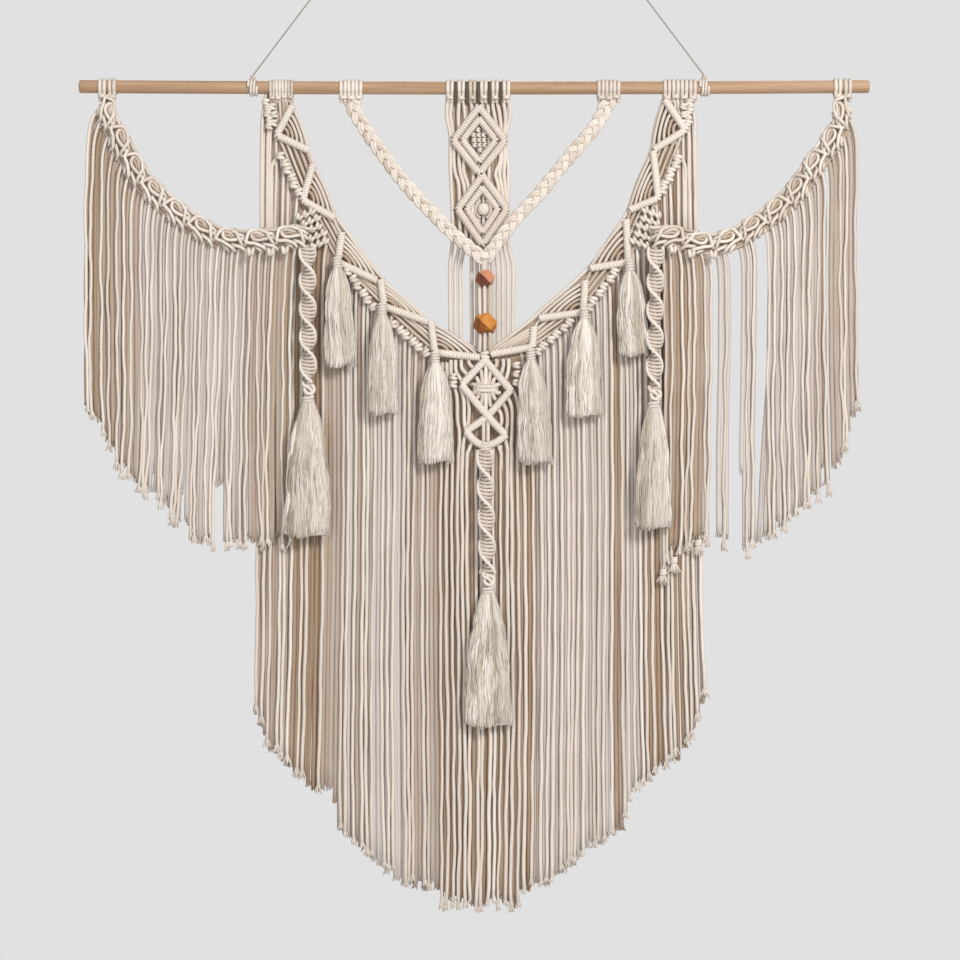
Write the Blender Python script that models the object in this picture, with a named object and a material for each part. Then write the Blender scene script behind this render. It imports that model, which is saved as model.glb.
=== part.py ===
"""Macrame wall hanging on a wooden rod.

Knotted cotton cord hangs from one straight rod: a scalloped wing at each end, a V-shaped garland
with a long curtain of fringe, a middle panel with two diamonds, a braided swag with two wooden
beads, three spiral sennits and nine tassels. A thin thread on each side runs up to a tied loop.

Sizes below are millimetres. x runs to the right, depth is y (minus is towards the viewer, plus is
towards the wall) and drop is measured down from the rod's axis. The origin is midway between the
two nails that the loops hang on.
"""

import math
import random
from collections import namedtuple

import bmesh
import bpy
import numpy as np
from mathutils import Euler, Vector

MM = 0.001
CLEARANCE = 0.3

# Rod and hanging thread
ROD_LEFT, ROD_RIGHT = -462.0, 452.0
ROD_RADIUS = 7.5
ROD_BOW = 1.7
ROD_CHAMFER = 1.2
ROUND_SIDES = 8
TIE_X = 261.0
TIE_HALF_WIDTH = 6.5
TIE_RADIUS = 10.8
TIE_VALLEY = 9.9
TIE_KNOT_DROP = -8.8
TIE_KNOT_RADIUS = 2.6
THREAD_DIAMETER = 1.8
THREAD_FOOT_DROP = -14.6
THREAD_TOP_DROP = -106.5
THREAD_LEAN = 0.756
LOOP_INNER_RADIUS = 5.0
LOOP_KNOT_RADIUS = 2.4
LOOP_SUNK = 1.0
LOOP_POINTS = 10
NAIL_DROP = -119.5

# Cord
STRAND_RADIUS = 2.4
CARRIER_HALF_WIDTH = 2.5
SLEEVE_BORE = ROD_RADIUS + 0.35
SLEEVE_RADIUS = 12.4
SLEEVE_VALLEY = 11.4
HANG_DROP = 9.2
BAR_HALF_WIDTH = 3.4
BAR_THICKNESS = 5.0
BAR_RIDGE_LENGTH = 14.0
BAR_CREST_SHARE = 0.62
BERRY_HALF_WIDTH = 5.0
BERRY_THICKNESS = 6.2
BERRY_RIDGE_LENGTH = 11.0
RIDGE_SHARE = 0.17
BARREL_SIDES = 6

# How hanging strands wander, and where along their fall they wander most
SWAY_REACH = 1.6
SWAY_PER_MM = 0.021
SWAY_START = 1.3
HANG_MIDDLE = 0.55

# Sleeves of cord on the rod: left end, right end, crests
SLEEVES = {
    "wing_left": (-440.5, -418.0, 2),
    "wing_right": (409.5, 432.5, 2),
    "vee_left": (-252.5, -214.0, 3),
    "vee_right": (213.0, 252.5, 3),
    "swag_left": (-161.0, -134.0, 2),
    "swag_right": (137.0, 164.0, 2),
    "panel": (-39.5, 38.5, 6),
}

# Wing garlands, middle line: x, depth, drop
WING_LINES = {
    "left": (
        (-429.5, -1.5, 9.2),
        (-430, -2.5, 17),
        (-433, -4, 30),
        (-414, -4, 61),
        (-395, -4, 92),
        (-368, -4, 121),
        (-343, -4, 145),
        (-314, -5, 166),
        (-285, -8, 176),
        (-242, -14, 173),
        (-212, -17, 168),
        (-197, -17, 172),
    ),
    "right": (
        (421, -1.5, 9.2),
        (421, -2.5, 17),
        (419, -4, 41),
        (407, -4, 64),
        (386, -4, 93),
        (368, -4, 119),
        (346, -4, 141),
        (318, -5, 162),
        (291, -8, 177),
        (262, -12, 182),
        (230, -17, 175),
        (203, -17, 174),
    ),
}
WING_HALF_WIDTH = 10.8
WING_SCALLOP = 1.8
WING_TOP_SHARE = 0.72
WING_TIP_SHARE = 0.3
WING_TIP_TAPER = 8.0
WING_KNOTS = 7
WING_STRANDS = 31
# How a garland's core swells along one knot, as a share of its half width
WING_KNOT_PROFILE = (0.36, 1.0, 0.84, 1.0)
WING_CORE_HALF_WIDTH = 10.2
WING_CORE_HALF_THICKNESS = 5.4
WING_FRINGE_NEAR_X = 215.0
WING_FRINGE_INSET = 0.5
WING_FRINGE_LEAN = 8.0
WING_FRINGE_RAGGED = 9.0
WING_FRINGE_DEPTH = -3.0
WING_FRINGE_DEPTH_OVER_CURTAIN = -4.6
WING_FRINGE_SETTLE = 26.0
# The knot that gathers a garland's tip: how far above and below the tip, radius, ridge length
WING_KNOT_ABOVE, WING_KNOT_BELOW = 9.0, 11.2
WING_KNOT_RADIUS = 6.8
WING_KNOT_RIDGE = 6.5
CURTAIN_EDGE_X = 266.0
# Lower ends of the wing fringe: x, drop
WING_ENDS = {
    "left": (
        (-455, 379), (-429, 419), (-417, 448), (-392, 471), (-368, 486),
        (-340, 512), (-322, 532), (-285, 537), (-241, 535), (-224, 533),
    ),
    "right": (
        (213, 560), (226, 549), (254, 529), (289, 533), (305, 547), (337, 529),
        (355, 512), (372, 495), (401, 471), (418, 437), (440, 366),
    ),
}

# V garland: inner edge x and drop, outer edge x and drop, one row a station
VEE_EDGES = {
    "left": (
        (-217, 9, -237, 9),
        (-208, 43, -231, 61),
        (-196, 75, -226, 84),
        (-182, 110, -213, 116),
        (-166, 145, -204, 149),
        (-146, 174, -181, 180),
        (-127, 201, -160, 207),
        (-94, 238, -122, 253),
        (-61, 270, -91, 278),
        (-49, 276, -58, 308),
        (-24, 290, -27, 313),
        (4, 306, 4, 316),
    ),
    "right": (
        (215, 9, 235, 9),
        (204, 43, 230, 58),
        (198, 75, 226, 87),
        (183, 110, 213, 117),
        (171, 144, 204, 140),
        (151, 174, 183, 180),
        (131, 203, 163, 213),
        (101, 232, 128, 253),
        (73, 256, 101, 277),
        (60, 268, 69, 304),
        (39, 285, 42, 312),
        (10, 306, 10, 316),
    ),
}
VEE_BAND_STRANDS = 4
VEE_EDGE_DEPTH = -1.0
VEE_MIDDLE_DEPTH = 0.0
LEAF_BACK = -2.7
BERRY_BACK = -2.9
# Leaf bars on each arm, in stations along it and shares of the way from its inner to its outer edge
Leaf = namedtuple("Leaf", "start apex apex_outness end end_outness")
LEAVES = {
    "left": (
        Leaf(0.5, 0.95, 1.0, 2.0, 0.0),
        Leaf(2.4, 3.5, 0.95, 4.1, 0.0),
        Leaf(4.7, 5.9, 0.97, 6.5, 0.0),
        Leaf(6.6, 7.25, 0.92, 8.0, 0.0),
        Leaf(8.3, 9.1, 1.0, 11.0, 0.6),
    ),
    "right": (
        Leaf(0.3, 0.85, 1.0, 1.9, 0.0),
        Leaf(2.1, 3.5, 0.95, 3.9, 0.0),
        Leaf(4.3, 5.55, 1.0, 6.15, 0.0),
        Leaf(6.6, 7.25, 0.95, 8.2, 0.0),
        Leaf(8.3, 9.0, 1.0, 11.0, 0.6),
    ),
}
# Rows of berry knots along the outer edge, in stations: start, end
BERRY_ROWS = ((1.7, 3.2), (4.1, 5.0), (6.25, 7.05), (7.85, 8.95))

CURTAIN_PITCH = 6.0
CURTAIN_HALF_WIDTH = 249.5
CURTAIN_FLARE = 0.05
CURTAIN_STAGGER = 0.35
CURTAIN_RAGGED = 10.0
CURTAIN_DEPTH = 0.0
# Lower ends of the curtain: x, drop
CURTAIN_ENDS = (
    (-264, 706), (-245, 766), (-218, 788), (-198, 810), (-167, 823), (-160, 865), (-131, 885),
    (-105, 911), (-87, 925), (-54, 930), (0, 934), (53, 936), (83, 925), (114, 898), (150, 869),
    (167, 863), (178, 817), (189, 810), (209, 794), (231, 777), (246, 755), (257, 728), (264, 699),
)

# Drop at the V's point: middle x, middle drop, half width, half height of each ring of knots
DROP_RINGS = ((8, 349, 26, 35), (8, 398.5, 21, 15.5))
DROP_BACKS = (-3.1, -3.3)
DROP_FOOT_DEPTH = -5.5
DROP_FOOT_TOP, DROP_FOOT_END = 409.0, 420.0
DROP_FOOT_RADIUS = 5.0

# Middle panel
PANEL_STRANDS = 12
PANEL_TOP = (-35.5, 34.5)
PANEL_MIDDLE_X = (-33, -27, -21, -8, -2, 4, 10, 16, 22, 28, 34, 40)
PANEL_END = (-44.0, 46.0)
# Where the panel's cords leave the rod, leave the diamonds, lie behind the V, fan out and wander
PANEL_LEAVE_DROP = 18.0
PANEL_FOOT_DROP = 178.0
PANEL_BACK_DROP = 205.0
PANEL_FAN_DROP = 300.0
PANEL_SPREAD_DROP = 430.0
PANEL_SWAY_DROP = 690.0
PANEL_END_DROP = 953.0
PANEL_RAGGED = 9.0
PANEL_DEPTH = 1.4
PANEL_CARRYING_DEPTH = -0.4
PANEL_CARRYING_STRANDS = (5, 6)
PANEL_BACK_DEPTH = 4.6
PANEL_DIAMOND_BACK = -1.3
PANEL_KNOT_BACK = -1.5
PANEL_KNOT_HALF = 8.0
PANEL_KNOT_THICKNESS = 5.5
PANEL_KNOT_RIDGE = 7.0
# Diamonds: middle x, middle drop, half width, half height
PANEL_DIAMONDS = ((-3, 58, 29, 37), (3.5, 143, 30, 40))

# Swag braids: x, depth, drop
SWAG_LINES = {
    "left": (
        (-147, -1, 9.4), (-146.5, -2, 17), (-140, -4, 33), (-121, -7, 63), (-87, -10, 109), (-54, -13, 145),
        (-27, -14, 172), (6, -14, 199),
    ),
    "right": (
        (150, -1, 9.4), (149.5, -2, 17), (134, -7, 46), (101, -10, 85), (72, -12, 121),
        (39, -14, 157), (8, -14, 199),
    ),
}
BRAID_STEP = 8.5
BRAID_LEAN = 0.14
BRAID_TOP_SPREAD = 0.5
BRAID_TOP_ROWS = 4
SWAG_HALF_WIDTH = 6.8
SWAG_HALF_THICKNESS = 4.6
BEAD_CORD_RADIUS = 2.3
# Bead cords: x, depth, drop, how far the four cords stand off the middle line
BEAD_CORDS = (
    (7, -14, 194, 2.0),
    (7.5, -12, 207, 1.9),
    (7.5, -12, 235, 1.9),
    (8, -12, 246, 4.2),
    (8, -12, 258, 1.9),
    (8, -12, 290, 1.9),
    (8, -10, 299.5, 3.0),
)
# Beads: place, half the distance between opposite square faces, and how the bead has tipped and
# turned on its cords, in degrees
Bead = namedtuple("Bead", "x depth drop half tip turn")
BEADS = {
    "bead_small": Bead(7.5, -12, 221.5, 8.6, -15, 40),
    "bead_large": Bead(7.5, -12, 274, 10.5, -18, 29),
}
BEAD_BORE_RADIUS = 4.9
BEAD_BORE_SIDES = 8

Spiral = namedtuple("Spiral", "x depth drop end_x end_drop half_turns")
SPIRALS = {
    "left": Spiral(-197, -18, 183.5, -196, 361, 5.5),
    "center": Spiral(7, -12.6, 420, 11, 581, 5.0),
    "right": Spiral(204, -18, 185.5, 202, 367, 5.5),
}
SPIRAL_HALF_WIDTH = 9.6
SPIRAL_HALF_THICKNESS = 5.6
SPIRAL_END_SHARE = 0.62
SPIRAL_RINGS_PER_HALF_TURN = 5
SPIRAL_SIDES = 6

Tassel = namedtuple("Tassel", "x depth drop end_x end_drop half_width locks")
TASSELS = {
    "tassel_left_1": Tassel(-163, -14.2, 196, -159, 325, 18, 6),
    "tassel_left_2": Tassel(-111, -15.0, 249, -111, 380, 17, 6),
    "tassel_left_3": Tassel(-50, -13.9, 305, -50, 436, 21, 6),
    "tassel_right_1": Tassel(174, -12.4, 199, 177, 312, 16, 6),
    "tassel_right_2": Tassel(122, -13.9, 255, 121, 383, 21, 6),
    "tassel_right_3": Tassel(60, -15.1, 302, 66, 437, 20, 6),
    "tassel_spiral_left": Tassel(-196, -18, 361, -197, 521, 26, 8),
    "tassel_spiral_center": Tassel(11, -12.6, 581, 11, 740, 26, 8),
    "tassel_spiral_right": Tassel(202, -18, 367, 200, 512, 20, 8),
}
TASSEL_HEAD_RADIUS = 6.4
TASSEL_HEAD_HEIGHT = 18.0
TASSEL_HEAD_SIDES = 6
# How a tassel's head swells: share of the way down, share of the radius
TASSEL_HEAD_PROFILE = ((0.0, 0.5), (0.25, 1.0), (0.6, 0.95), (0.75, 0.78), (1.0, 1.0))
LOCK_SUNK = 2.5
LOCK_ROOT_HALF_WIDTH = 4.6
LOCK_ROOT_DEPTH = 1.6
LOCK_FOOT_DEPTH = 3.3
LOCK_GAP = 0.5
# How a tassel spreads: share of the way down, share of the spread
LOCK_PROFILE = ((0.0, 0.0), (0.3, 0.55), (1.0, 1.0))

SEED = 7

COTTON = (0.82, 0.75, 0.65, 1.0)
COMBED_COTTON = (0.85, 0.80, 0.71, 1.0)
ROD_WOOD = (0.55, 0.36, 0.22, 1.0)
COPPER_WOOD = (0.42, 0.16, 0.09, 1.0)
AMBER_WOOD = (0.55, 0.24, 0.05, 1.0)
THREAD_GREY = (0.45, 0.44, 0.42, 1.0)


def at(x, depth, drop):
    """A point in metres from the hanging's own x, depth and drop."""
    return Vector((x, depth, NAIL_DROP - drop)) * MM


def material(name, colour, roughness):
    made = bpy.data.materials.new(name)
    made.use_nodes = True
    shader = made.node_tree.nodes["Principled BSDF"]
    shader.inputs["Base Color"].default_value = colour
    shader.inputs["Roughness"].default_value = roughness
    shader.inputs["Metallic"].default_value = 0.0
    return made


def add_object(name, bm, finish):
    """A new object from a bmesh, with outward faces."""
    bmesh.ops.recalc_face_normals(bm, faces=bm.faces)
    mesh = bpy.data.meshes.new(name)
    bm.to_mesh(mesh)
    bm.free()
    mesh.materials.append(finish)
    made = bpy.data.objects.new(name, mesh)
    bpy.context.scene.collection.objects.link(made)
    return made


def skin(name, rings, finish, closed=False):
    """A closed solid through rings of points; a closed run of rings needs no end caps."""
    bm = bmesh.new()
    loops = [[bm.verts.new(point) for point in ring] for ring in rings]
    count = len(loops[0])
    following = loops[1:] + loops[:1] if closed else loops[1:]
    for near, far in zip(loops, following):
        for k in range(count):
            turn = (k + 1) % count
            bm.faces.new((near[k], near[turn], far[turn], far[k]))
    if not closed:
        bm.faces.new(loops[0])
        bm.faces.new(loops[-1])
    return add_object(name, bm, finish)


def curve_through(points, count):
    """Evenly spaced points on a smooth curve through a few points, as an array."""
    rows = np.array(points, dtype=float)
    padded = np.vstack([2 * rows[0] - rows[1], rows, 2 * rows[-1] - rows[-2]])
    steps = np.linspace(0, 1, 12, endpoint=False)[:, None]
    pieces = []
    for a, b, c, d in zip(padded, padded[1:], padded[2:], padded[3:]):
        bend = 2 * b + (c - a) * steps + (2 * a - 5 * b + 4 * c - d) * steps**2
        pieces.append(0.5 * (bend + (3 * b - a - 3 * c + d) * steps**3))
    fine = np.vstack(pieces + [rows[-1:]])
    return evenly(fine, count)


def evenly(points, count):
    """Points spaced evenly along a run of straight pieces."""
    rows = np.array(points, dtype=float)
    walked = np.concatenate([[0], np.cumsum(np.linalg.norm(np.diff(rows, axis=0), axis=1))])
    wanted = np.linspace(0, walked[-1], count)
    return np.column_stack([np.interp(wanted, walked, column) for column in rows.T])


def run_length(points):
    rows = np.array(points, dtype=float)
    return float(np.linalg.norm(np.diff(rows, axis=0), axis=1).sum())


def polygon(sides, half_width, half_thickness, turn=0.0):
    """Offsets sideways and forwards of a regular section, first corner to the front."""
    offsets = []
    for k in range(sides):
        angle = 2 * math.pi * k / sides
        side = half_width * math.sin(angle)
        front = half_thickness * math.cos(angle)
        offsets.append(
            (side * math.cos(turn) - front * math.sin(turn), side * math.sin(turn) + front * math.cos(turn))
        )
    return offsets


def hexagon(half_width, half_thickness):
    """Offsets of a flat section with its outer corners at the sides."""
    flat = half_width / 2
    return [
        (-half_width, 0), (-flat, -half_thickness), (flat, -half_thickness),
        (half_width, 0), (flat, half_thickness), (-flat, half_thickness),
    ]


def sweep(name, path, sections, finish, closed=False):
    """A solid along a path of x, depth, drop rows, with a section of offsets at each row."""
    points = [at(*row) for row in path]
    count = len(points)
    rings = []
    for i, point in enumerate(points):
        before = points[i - 1] if closed or i else point
        after = points[(i + 1) % count] if closed or i < count - 1 else point
        along = (after - before).normalized()
        front = Vector((0, -1, 0))
        front = (front - along * front.dot(along)).normalized()
        side = along.cross(front)
        rings.append([point + (side * a + front * b) * MM for a, b in sections[i]])
    return skin(name, rings, finish, closed)


def strand(path, finish, radius=STRAND_RADIUS, sides=3):
    section = polygon(sides, radius, radius)
    return sweep("strand", path, [section] * len(path), finish)


def ridges(path, ridge_length, closed):
    """Rows along a path, two to a ridge, and how far each row swells out of the mean."""
    turns = max(2, round(run_length(path) / ridge_length))
    if closed:
        rows = evenly(list(path) + [path[0]], 2 * turns + 1)[:-1]
    else:
        rows = evenly(path, 2 * turns + 1)
    swells = [1 + (RIDGE_SHARE if i % 2 else -RIDGE_SHARE) for i in range(len(rows))]
    return rows, swells


def bar(path, back, half_width, thickness, ridge_length, finish, closed=False):
    """A row of half-hitch knots along a path of x, drop rows: ridged in front, flat behind."""
    rows, swells = ridges([(x, back, drop) for x, drop in path], ridge_length, closed)
    sections = []
    for swell in swells:
        wide = half_width * (1 + swell) / 2
        narrow = half_width * BAR_CREST_SHARE * swell
        high = thickness * swell
        sections.append([(-wide, 0.0), (wide, 0.0), (narrow, high), (-narrow, high)])
    return sweep("bar", rows, sections, finish, closed)


def barrel(start, end, radius, ridge_length, finish):
    """A short round wrapping with flat ends."""
    rows, swells = ridges([start, end], ridge_length, False)
    sections = [polygon(BARREL_SIDES, radius * swell, radius * swell) for swell in swells]
    return sweep("barrel", rows, sections, finish)


def carrier(path, finish):
    """The square edge cord that fringe is rooted in."""
    half = CARRIER_HALF_WIDTH
    section = [(-half, -half), (half, -half), (half, half), (-half, half)]
    return sweep("carrier", path, [section] * len(path), finish)


def rod_drop(x):
    """How far the rod's axis has sagged below its level ends at x."""
    share = (x - ROD_LEFT) / (ROD_RIGHT - ROD_LEFT)
    return ROD_BOW * (4 * share * (1 - share) - 1)


def round_ring(x, radius, drop):
    """A ring of points round the rod's axis."""
    ring = []
    for k in range(ROUND_SIDES):
        angle = 2 * math.pi * (k + 0.5) / ROUND_SIDES
        ring.append(at(x, radius * math.cos(angle), drop + radius * math.sin(angle)))
    return ring


def rod(finish):
    middle = np.linspace(ROD_LEFT + ROD_CHAMFER, ROD_RIGHT - ROD_CHAMFER, 7)
    stations = [(ROD_LEFT, ROD_RADIUS - ROD_CHAMFER)]
    stations += [(x, ROD_RADIUS) for x in middle]
    stations += [(ROD_RIGHT, ROD_RADIUS - ROD_CHAMFER)]
    rings = [round_ring(x, radius, rod_drop(x)) for x, radius in stations]
    return skin("rod", rings, finish)


def sleeve(left, right, crests, finish, crest=SLEEVE_RADIUS, valley=SLEEVE_VALLEY):
    """Cord wound round the rod, open along the rod's axis."""
    drop = rod_drop((left + right) / 2)
    outer = []
    for i, x in enumerate(np.linspace(left, right, 2 * crests + 1)):
        outer.append((x, crest if i % 2 else valley))
    profile = outer + [(right, SLEEVE_BORE), (left, SLEEVE_BORE)]
    rings = [round_ring(x, radius, drop) for x, radius in profile]
    return skin("sleeve", rings, finish, closed=True)


def fuse(name, pieces):
    """All pieces joined into one solid object of the given name."""
    base, others = pieces[0], pieces[1:]
    group = bpy.data.collections.new(name + "_pieces")
    bpy.context.scene.collection.children.link(group)
    for piece in others:
        group.objects.link(piece)
        bpy.context.scene.collection.objects.unlink(piece)
    join = base.modifiers.new("Join", "BOOLEAN")
    join.operation = "UNION"
    join.operand_type = "COLLECTION"
    join.collection = group
    join.solver = "EXACT"
    bpy.context.view_layer.update()
    evaluated = base.evaluated_get(bpy.context.evaluated_depsgraph_get())
    mesh = bpy.data.meshes.new_from_object(evaluated)
    mesh.name = name
    made = bpy.data.objects.new(name, mesh)
    bpy.context.scene.collection.objects.link(made)
    for piece in pieces:
        bpy.data.objects.remove(piece)
    bpy.data.collections.remove(group)
    return made


def sway(x, share):
    """A slow sideways wander of hanging strands, nearly the same for neighbours."""
    return SWAY_REACH * math.sin(x * SWAY_PER_MM + SWAY_START) * math.sin(math.pi * share)


def hanging_strand(root, end, depth, settle, finish):
    """A fringe strand from its root row to its end, moved to its own depth within settle mm."""
    x, root_depth, drop = root
    end_x, end_drop = end
    fall = end_drop - drop
    rows = [(x, root_depth, drop)]
    if settle:
        rows.append((x + (end_x - x) * settle / fall, depth, drop + settle))
    middle_x = x + (end_x - x) * HANG_MIDDLE + sway(x, HANG_MIDDLE)
    rows.append((middle_x, depth, drop + fall * HANG_MIDDLE))
    rows.append((end_x, depth, end_drop))
    return strand(rows, finish)


def wing(side, finish, chance):
    """A garland of square knots with its fringe, from one end of the rod."""
    rings = WING_KNOTS * len(WING_KNOT_PROFILE)
    line = curve_through(WING_LINES[side], rings + 1)
    outward = -1 if side == "left" else 1
    heading = np.gradient(line, axis=0)
    heading[:, 1] = 0
    heading /= np.linalg.norm(heading, axis=1)[:, None]
    across = np.column_stack([outward * heading[:, 2], np.zeros(len(line)), -outward * heading[:, 0]])
    swells = [WING_KNOT_PROFILE[i % len(WING_KNOT_PROFILE)] for i in range(rings + 1)]
    core = [hexagon(WING_CORE_HALF_WIDTH * swell, WING_CORE_HALF_THICKNESS * swell) for swell in swells]
    pieces = [sleeve(*SLEEVES["wing_" + side], finish), sweep("core", line, core, finish)]
    share = np.linspace(0, 1, len(line))
    scallop = WING_HALF_WIDTH + WING_SCALLOP * np.abs(np.cos(share * WING_KNOTS * math.pi))
    scallop *= np.minimum(1, WING_TOP_SHARE + share)
    scallop *= np.minimum(1, WING_TIP_SHARE + WING_TIP_TAPER * (1 - share))
    upper, lower = (line + across * (edge * scallop)[:, None] for edge in (-1, 1))
    pieces.append(carrier(upper[::2], finish))
    pieces.append(carrier(lower[::2], finish))
    x, depth, drop = line[-1]
    knot_top, knot_end = (x, depth, drop - WING_KNOT_ABOVE), (x, depth, drop + WING_KNOT_BELOW)
    pieces.append(barrel(knot_top, knot_end, WING_KNOT_RADIUS, WING_KNOT_RIDGE, finish))
    pieces += wing_fringe(side, lower, outward, finish, chance)
    return fuse("wing_" + side, pieces)


def wing_fringe(side, lower, outward, finish, chance):
    """Strands that hang from the garland's lower edge."""
    first = int(np.argmax(np.abs(lower[:, 0])))
    root_line = lower[first:]
    order = np.argsort(root_line[:, 0])
    root_line = root_line[order]
    ends = np.array(WING_ENDS[side], dtype=float)
    far = float(np.abs(root_line[:, 0]).max()) - WING_FRINGE_INSET
    strands = []
    for reach in np.linspace(WING_FRINGE_NEAR_X, far, WING_STRANDS):
        x = outward * reach
        root_depth = float(np.interp(x, root_line[:, 0], root_line[:, 1]))
        drop = float(np.interp(x, root_line[:, 0], root_line[:, 2]))
        end_x = x + outward * WING_FRINGE_LEAN
        end_drop = float(np.interp(end_x, ends[:, 0], ends[:, 1])) - chance.uniform(0, WING_FRINGE_RAGGED)
        over_curtain = reach < CURTAIN_EDGE_X
        depth = WING_FRINGE_DEPTH_OVER_CURTAIN if over_curtain else WING_FRINGE_DEPTH
        settle = WING_FRINGE_SETTLE if over_curtain else 0
        strands.append(hanging_strand((x, root_depth, drop), (end_x, end_drop), depth, settle, finish))
    return strands


def vee_point(stations, station, outness):
    """A place on one arm of the V, by station and by how far out it lies from 0 to 1."""
    index = np.arange(len(stations))
    inner_x, inner_drop, outer_x, outer_drop = (np.interp(station, index, column) for column in stations.T)
    return (
        inner_x + (outer_x - inner_x) * outness,
        inner_drop + (outer_drop - inner_drop) * outness,
    )


def vee_arm(side, finish):
    """One arm of the V garland: cords along it, leaf bars across it and berry knots under it."""
    stations = np.array(VEE_EDGES[side], dtype=float)
    last = len(stations) - 1
    pieces = [sleeve(*SLEEVES["vee_" + side], finish)]
    lines = []
    for outness in np.linspace(0, 1, VEE_BAND_STRANDS):
        path = []
        for station in np.linspace(0, last, len(stations)):
            x, drop = vee_point(stations, station, outness)
            path.append((x, VEE_EDGE_DEPTH if outness in (0, 1) else VEE_MIDDLE_DEPTH, drop))
        lines.append(path)
        pieces.append(carrier(path, finish) if outness == 1 else strand(path, finish))
    for leaf in LEAVES[side]:
        corner = [
            vee_point(stations, leaf.start, 0.0),
            vee_point(stations, leaf.apex, leaf.apex_outness),
            vee_point(stations, leaf.end, leaf.end_outness),
        ]
        pieces.append(bar(corner, LEAF_BACK, BAR_HALF_WIDTH, BAR_THICKNESS, BAR_RIDGE_LENGTH, finish))
    for start, end in BERRY_ROWS:
        row = [vee_point(stations, station, 1.0) for station in np.linspace(start, end, 4)]
        pieces.append(
            bar(row, BERRY_BACK, BERRY_HALF_WIDTH, BERRY_THICKNESS, BERRY_RIDGE_LENGTH, finish)
        )
    return pieces, lines[-1]


def vee_curtain(finish, chance):
    """The V garland, its curtain of fringe and the diamond drop at its point."""
    left_pieces, left_line = vee_arm("left", finish)
    right_pieces, right_line = vee_arm("right", finish)
    roots = np.array(sorted(left_line + right_line))
    ends = np.array(CURTAIN_ENDS, dtype=float)
    pieces = left_pieces + right_pieces
    count = round(2 * CURTAIN_HALF_WIDTH / CURTAIN_PITCH) + 1
    for i, x in enumerate(np.linspace(-CURTAIN_HALF_WIDTH, CURTAIN_HALF_WIDTH, count)):
        x += CURTAIN_STAGGER if i % 2 else -CURTAIN_STAGGER
        outside = abs(x) > abs(roots[0][0] if x < 0 else roots[-1][0])
        drop = HANG_DROP if outside else float(np.interp(x, roots[:, 0], roots[:, 2]))
        end_x = x * (1 + CURTAIN_FLARE * (x / CURTAIN_HALF_WIDTH) ** 2)
        end_drop = float(np.interp(end_x, ends[:, 0], ends[:, 1])) - chance.uniform(0, CURTAIN_RAGGED)
        pieces.append(hanging_strand((x, CURTAIN_DEPTH, drop), (end_x, end_drop), CURTAIN_DEPTH, 0, finish))
    for ring, back in zip(DROP_RINGS, DROP_BACKS):
        pieces.append(diamond(*ring, back, finish))
    x = DROP_RINGS[-1][0]
    foot_top, foot_end = (x, DROP_FOOT_DEPTH, DROP_FOOT_TOP), (x, DROP_FOOT_DEPTH, DROP_FOOT_END)
    pieces.append(barrel(foot_top, foot_end, DROP_FOOT_RADIUS, DROP_FOOT_RADIUS, finish))
    return fuse("vee_curtain", pieces)


def diamond(x, drop, half_width, half_height, back, finish):
    """A closed diamond of half-hitch knots."""
    corners = [
        (x, drop - half_height),
        (x + half_width, drop),
        (x, drop + half_height),
        (x - half_width, drop),
    ]
    return bar(corners, back, BAR_HALF_WIDTH, BAR_THICKNESS, BAR_RIDGE_LENGTH, finish, closed=True)


def center_panel(finish, chance):
    """Twelve cords with two diamonds, which hang on behind the rest."""
    pieces = [sleeve(*SLEEVES["panel"], finish)]
    tops = np.linspace(*PANEL_TOP, PANEL_STRANDS)
    ends = np.linspace(*PANEL_END, PANEL_STRANDS)
    for i, (top_x, middle_x, end_x) in enumerate(zip(tops, PANEL_MIDDLE_X, ends)):
        depth = PANEL_CARRYING_DEPTH if i in PANEL_CARRYING_STRANDS else PANEL_DEPTH
        end_drop = PANEL_END_DROP - chance.uniform(0, PANEL_RAGGED)
        path = [
            (top_x, 0.0, HANG_DROP),
            (top_x, depth, PANEL_LEAVE_DROP),
            (top_x, depth, PANEL_FOOT_DROP),
            (middle_x, PANEL_BACK_DEPTH, PANEL_BACK_DROP),
            (middle_x, PANEL_BACK_DEPTH, PANEL_FAN_DROP),
            (end_x, PANEL_BACK_DEPTH, PANEL_SPREAD_DROP),
            (end_x + sway(end_x, HANG_MIDDLE), PANEL_BACK_DEPTH, PANEL_SWAY_DROP),
            (end_x, PANEL_BACK_DEPTH, end_drop),
        ]
        pieces.append(strand(path, finish))
    for x, drop, half_width, half_height in PANEL_DIAMONDS:
        pieces.append(diamond(x, drop, half_width, half_height, PANEL_DIAMOND_BACK, finish))
        middle = [(x, drop - PANEL_KNOT_HALF), (x, drop + PANEL_KNOT_HALF)]
        pieces.append(
            bar(middle, PANEL_KNOT_BACK, PANEL_KNOT_HALF, PANEL_KNOT_THICKNESS, PANEL_KNOT_RIDGE, finish)
        )
    return fuse("center_panel", pieces)


def swag_braid(side, finish):
    """A flat braided sennit whose bumps alternate from edge to edge."""
    count = round(run_length(SWAG_LINES[side]) / BRAID_STEP)
    rows = curve_through(SWAG_LINES[side], count)
    sections = []
    for i in range(count):
        lean = BRAID_LEAN if i % 2 else -BRAID_LEAN
        width = SWAG_HALF_WIDTH * (1 + BRAID_TOP_SPREAD * max(0, 1 - i / BRAID_TOP_ROWS))
        section = polygon(BARREL_SIDES, width * (1 + lean / 2), SWAG_HALF_THICKNESS)
        sections.append([(side + lean * width, front) for side, front in section])
    return sweep("braid", rows, sections, finish)


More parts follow.
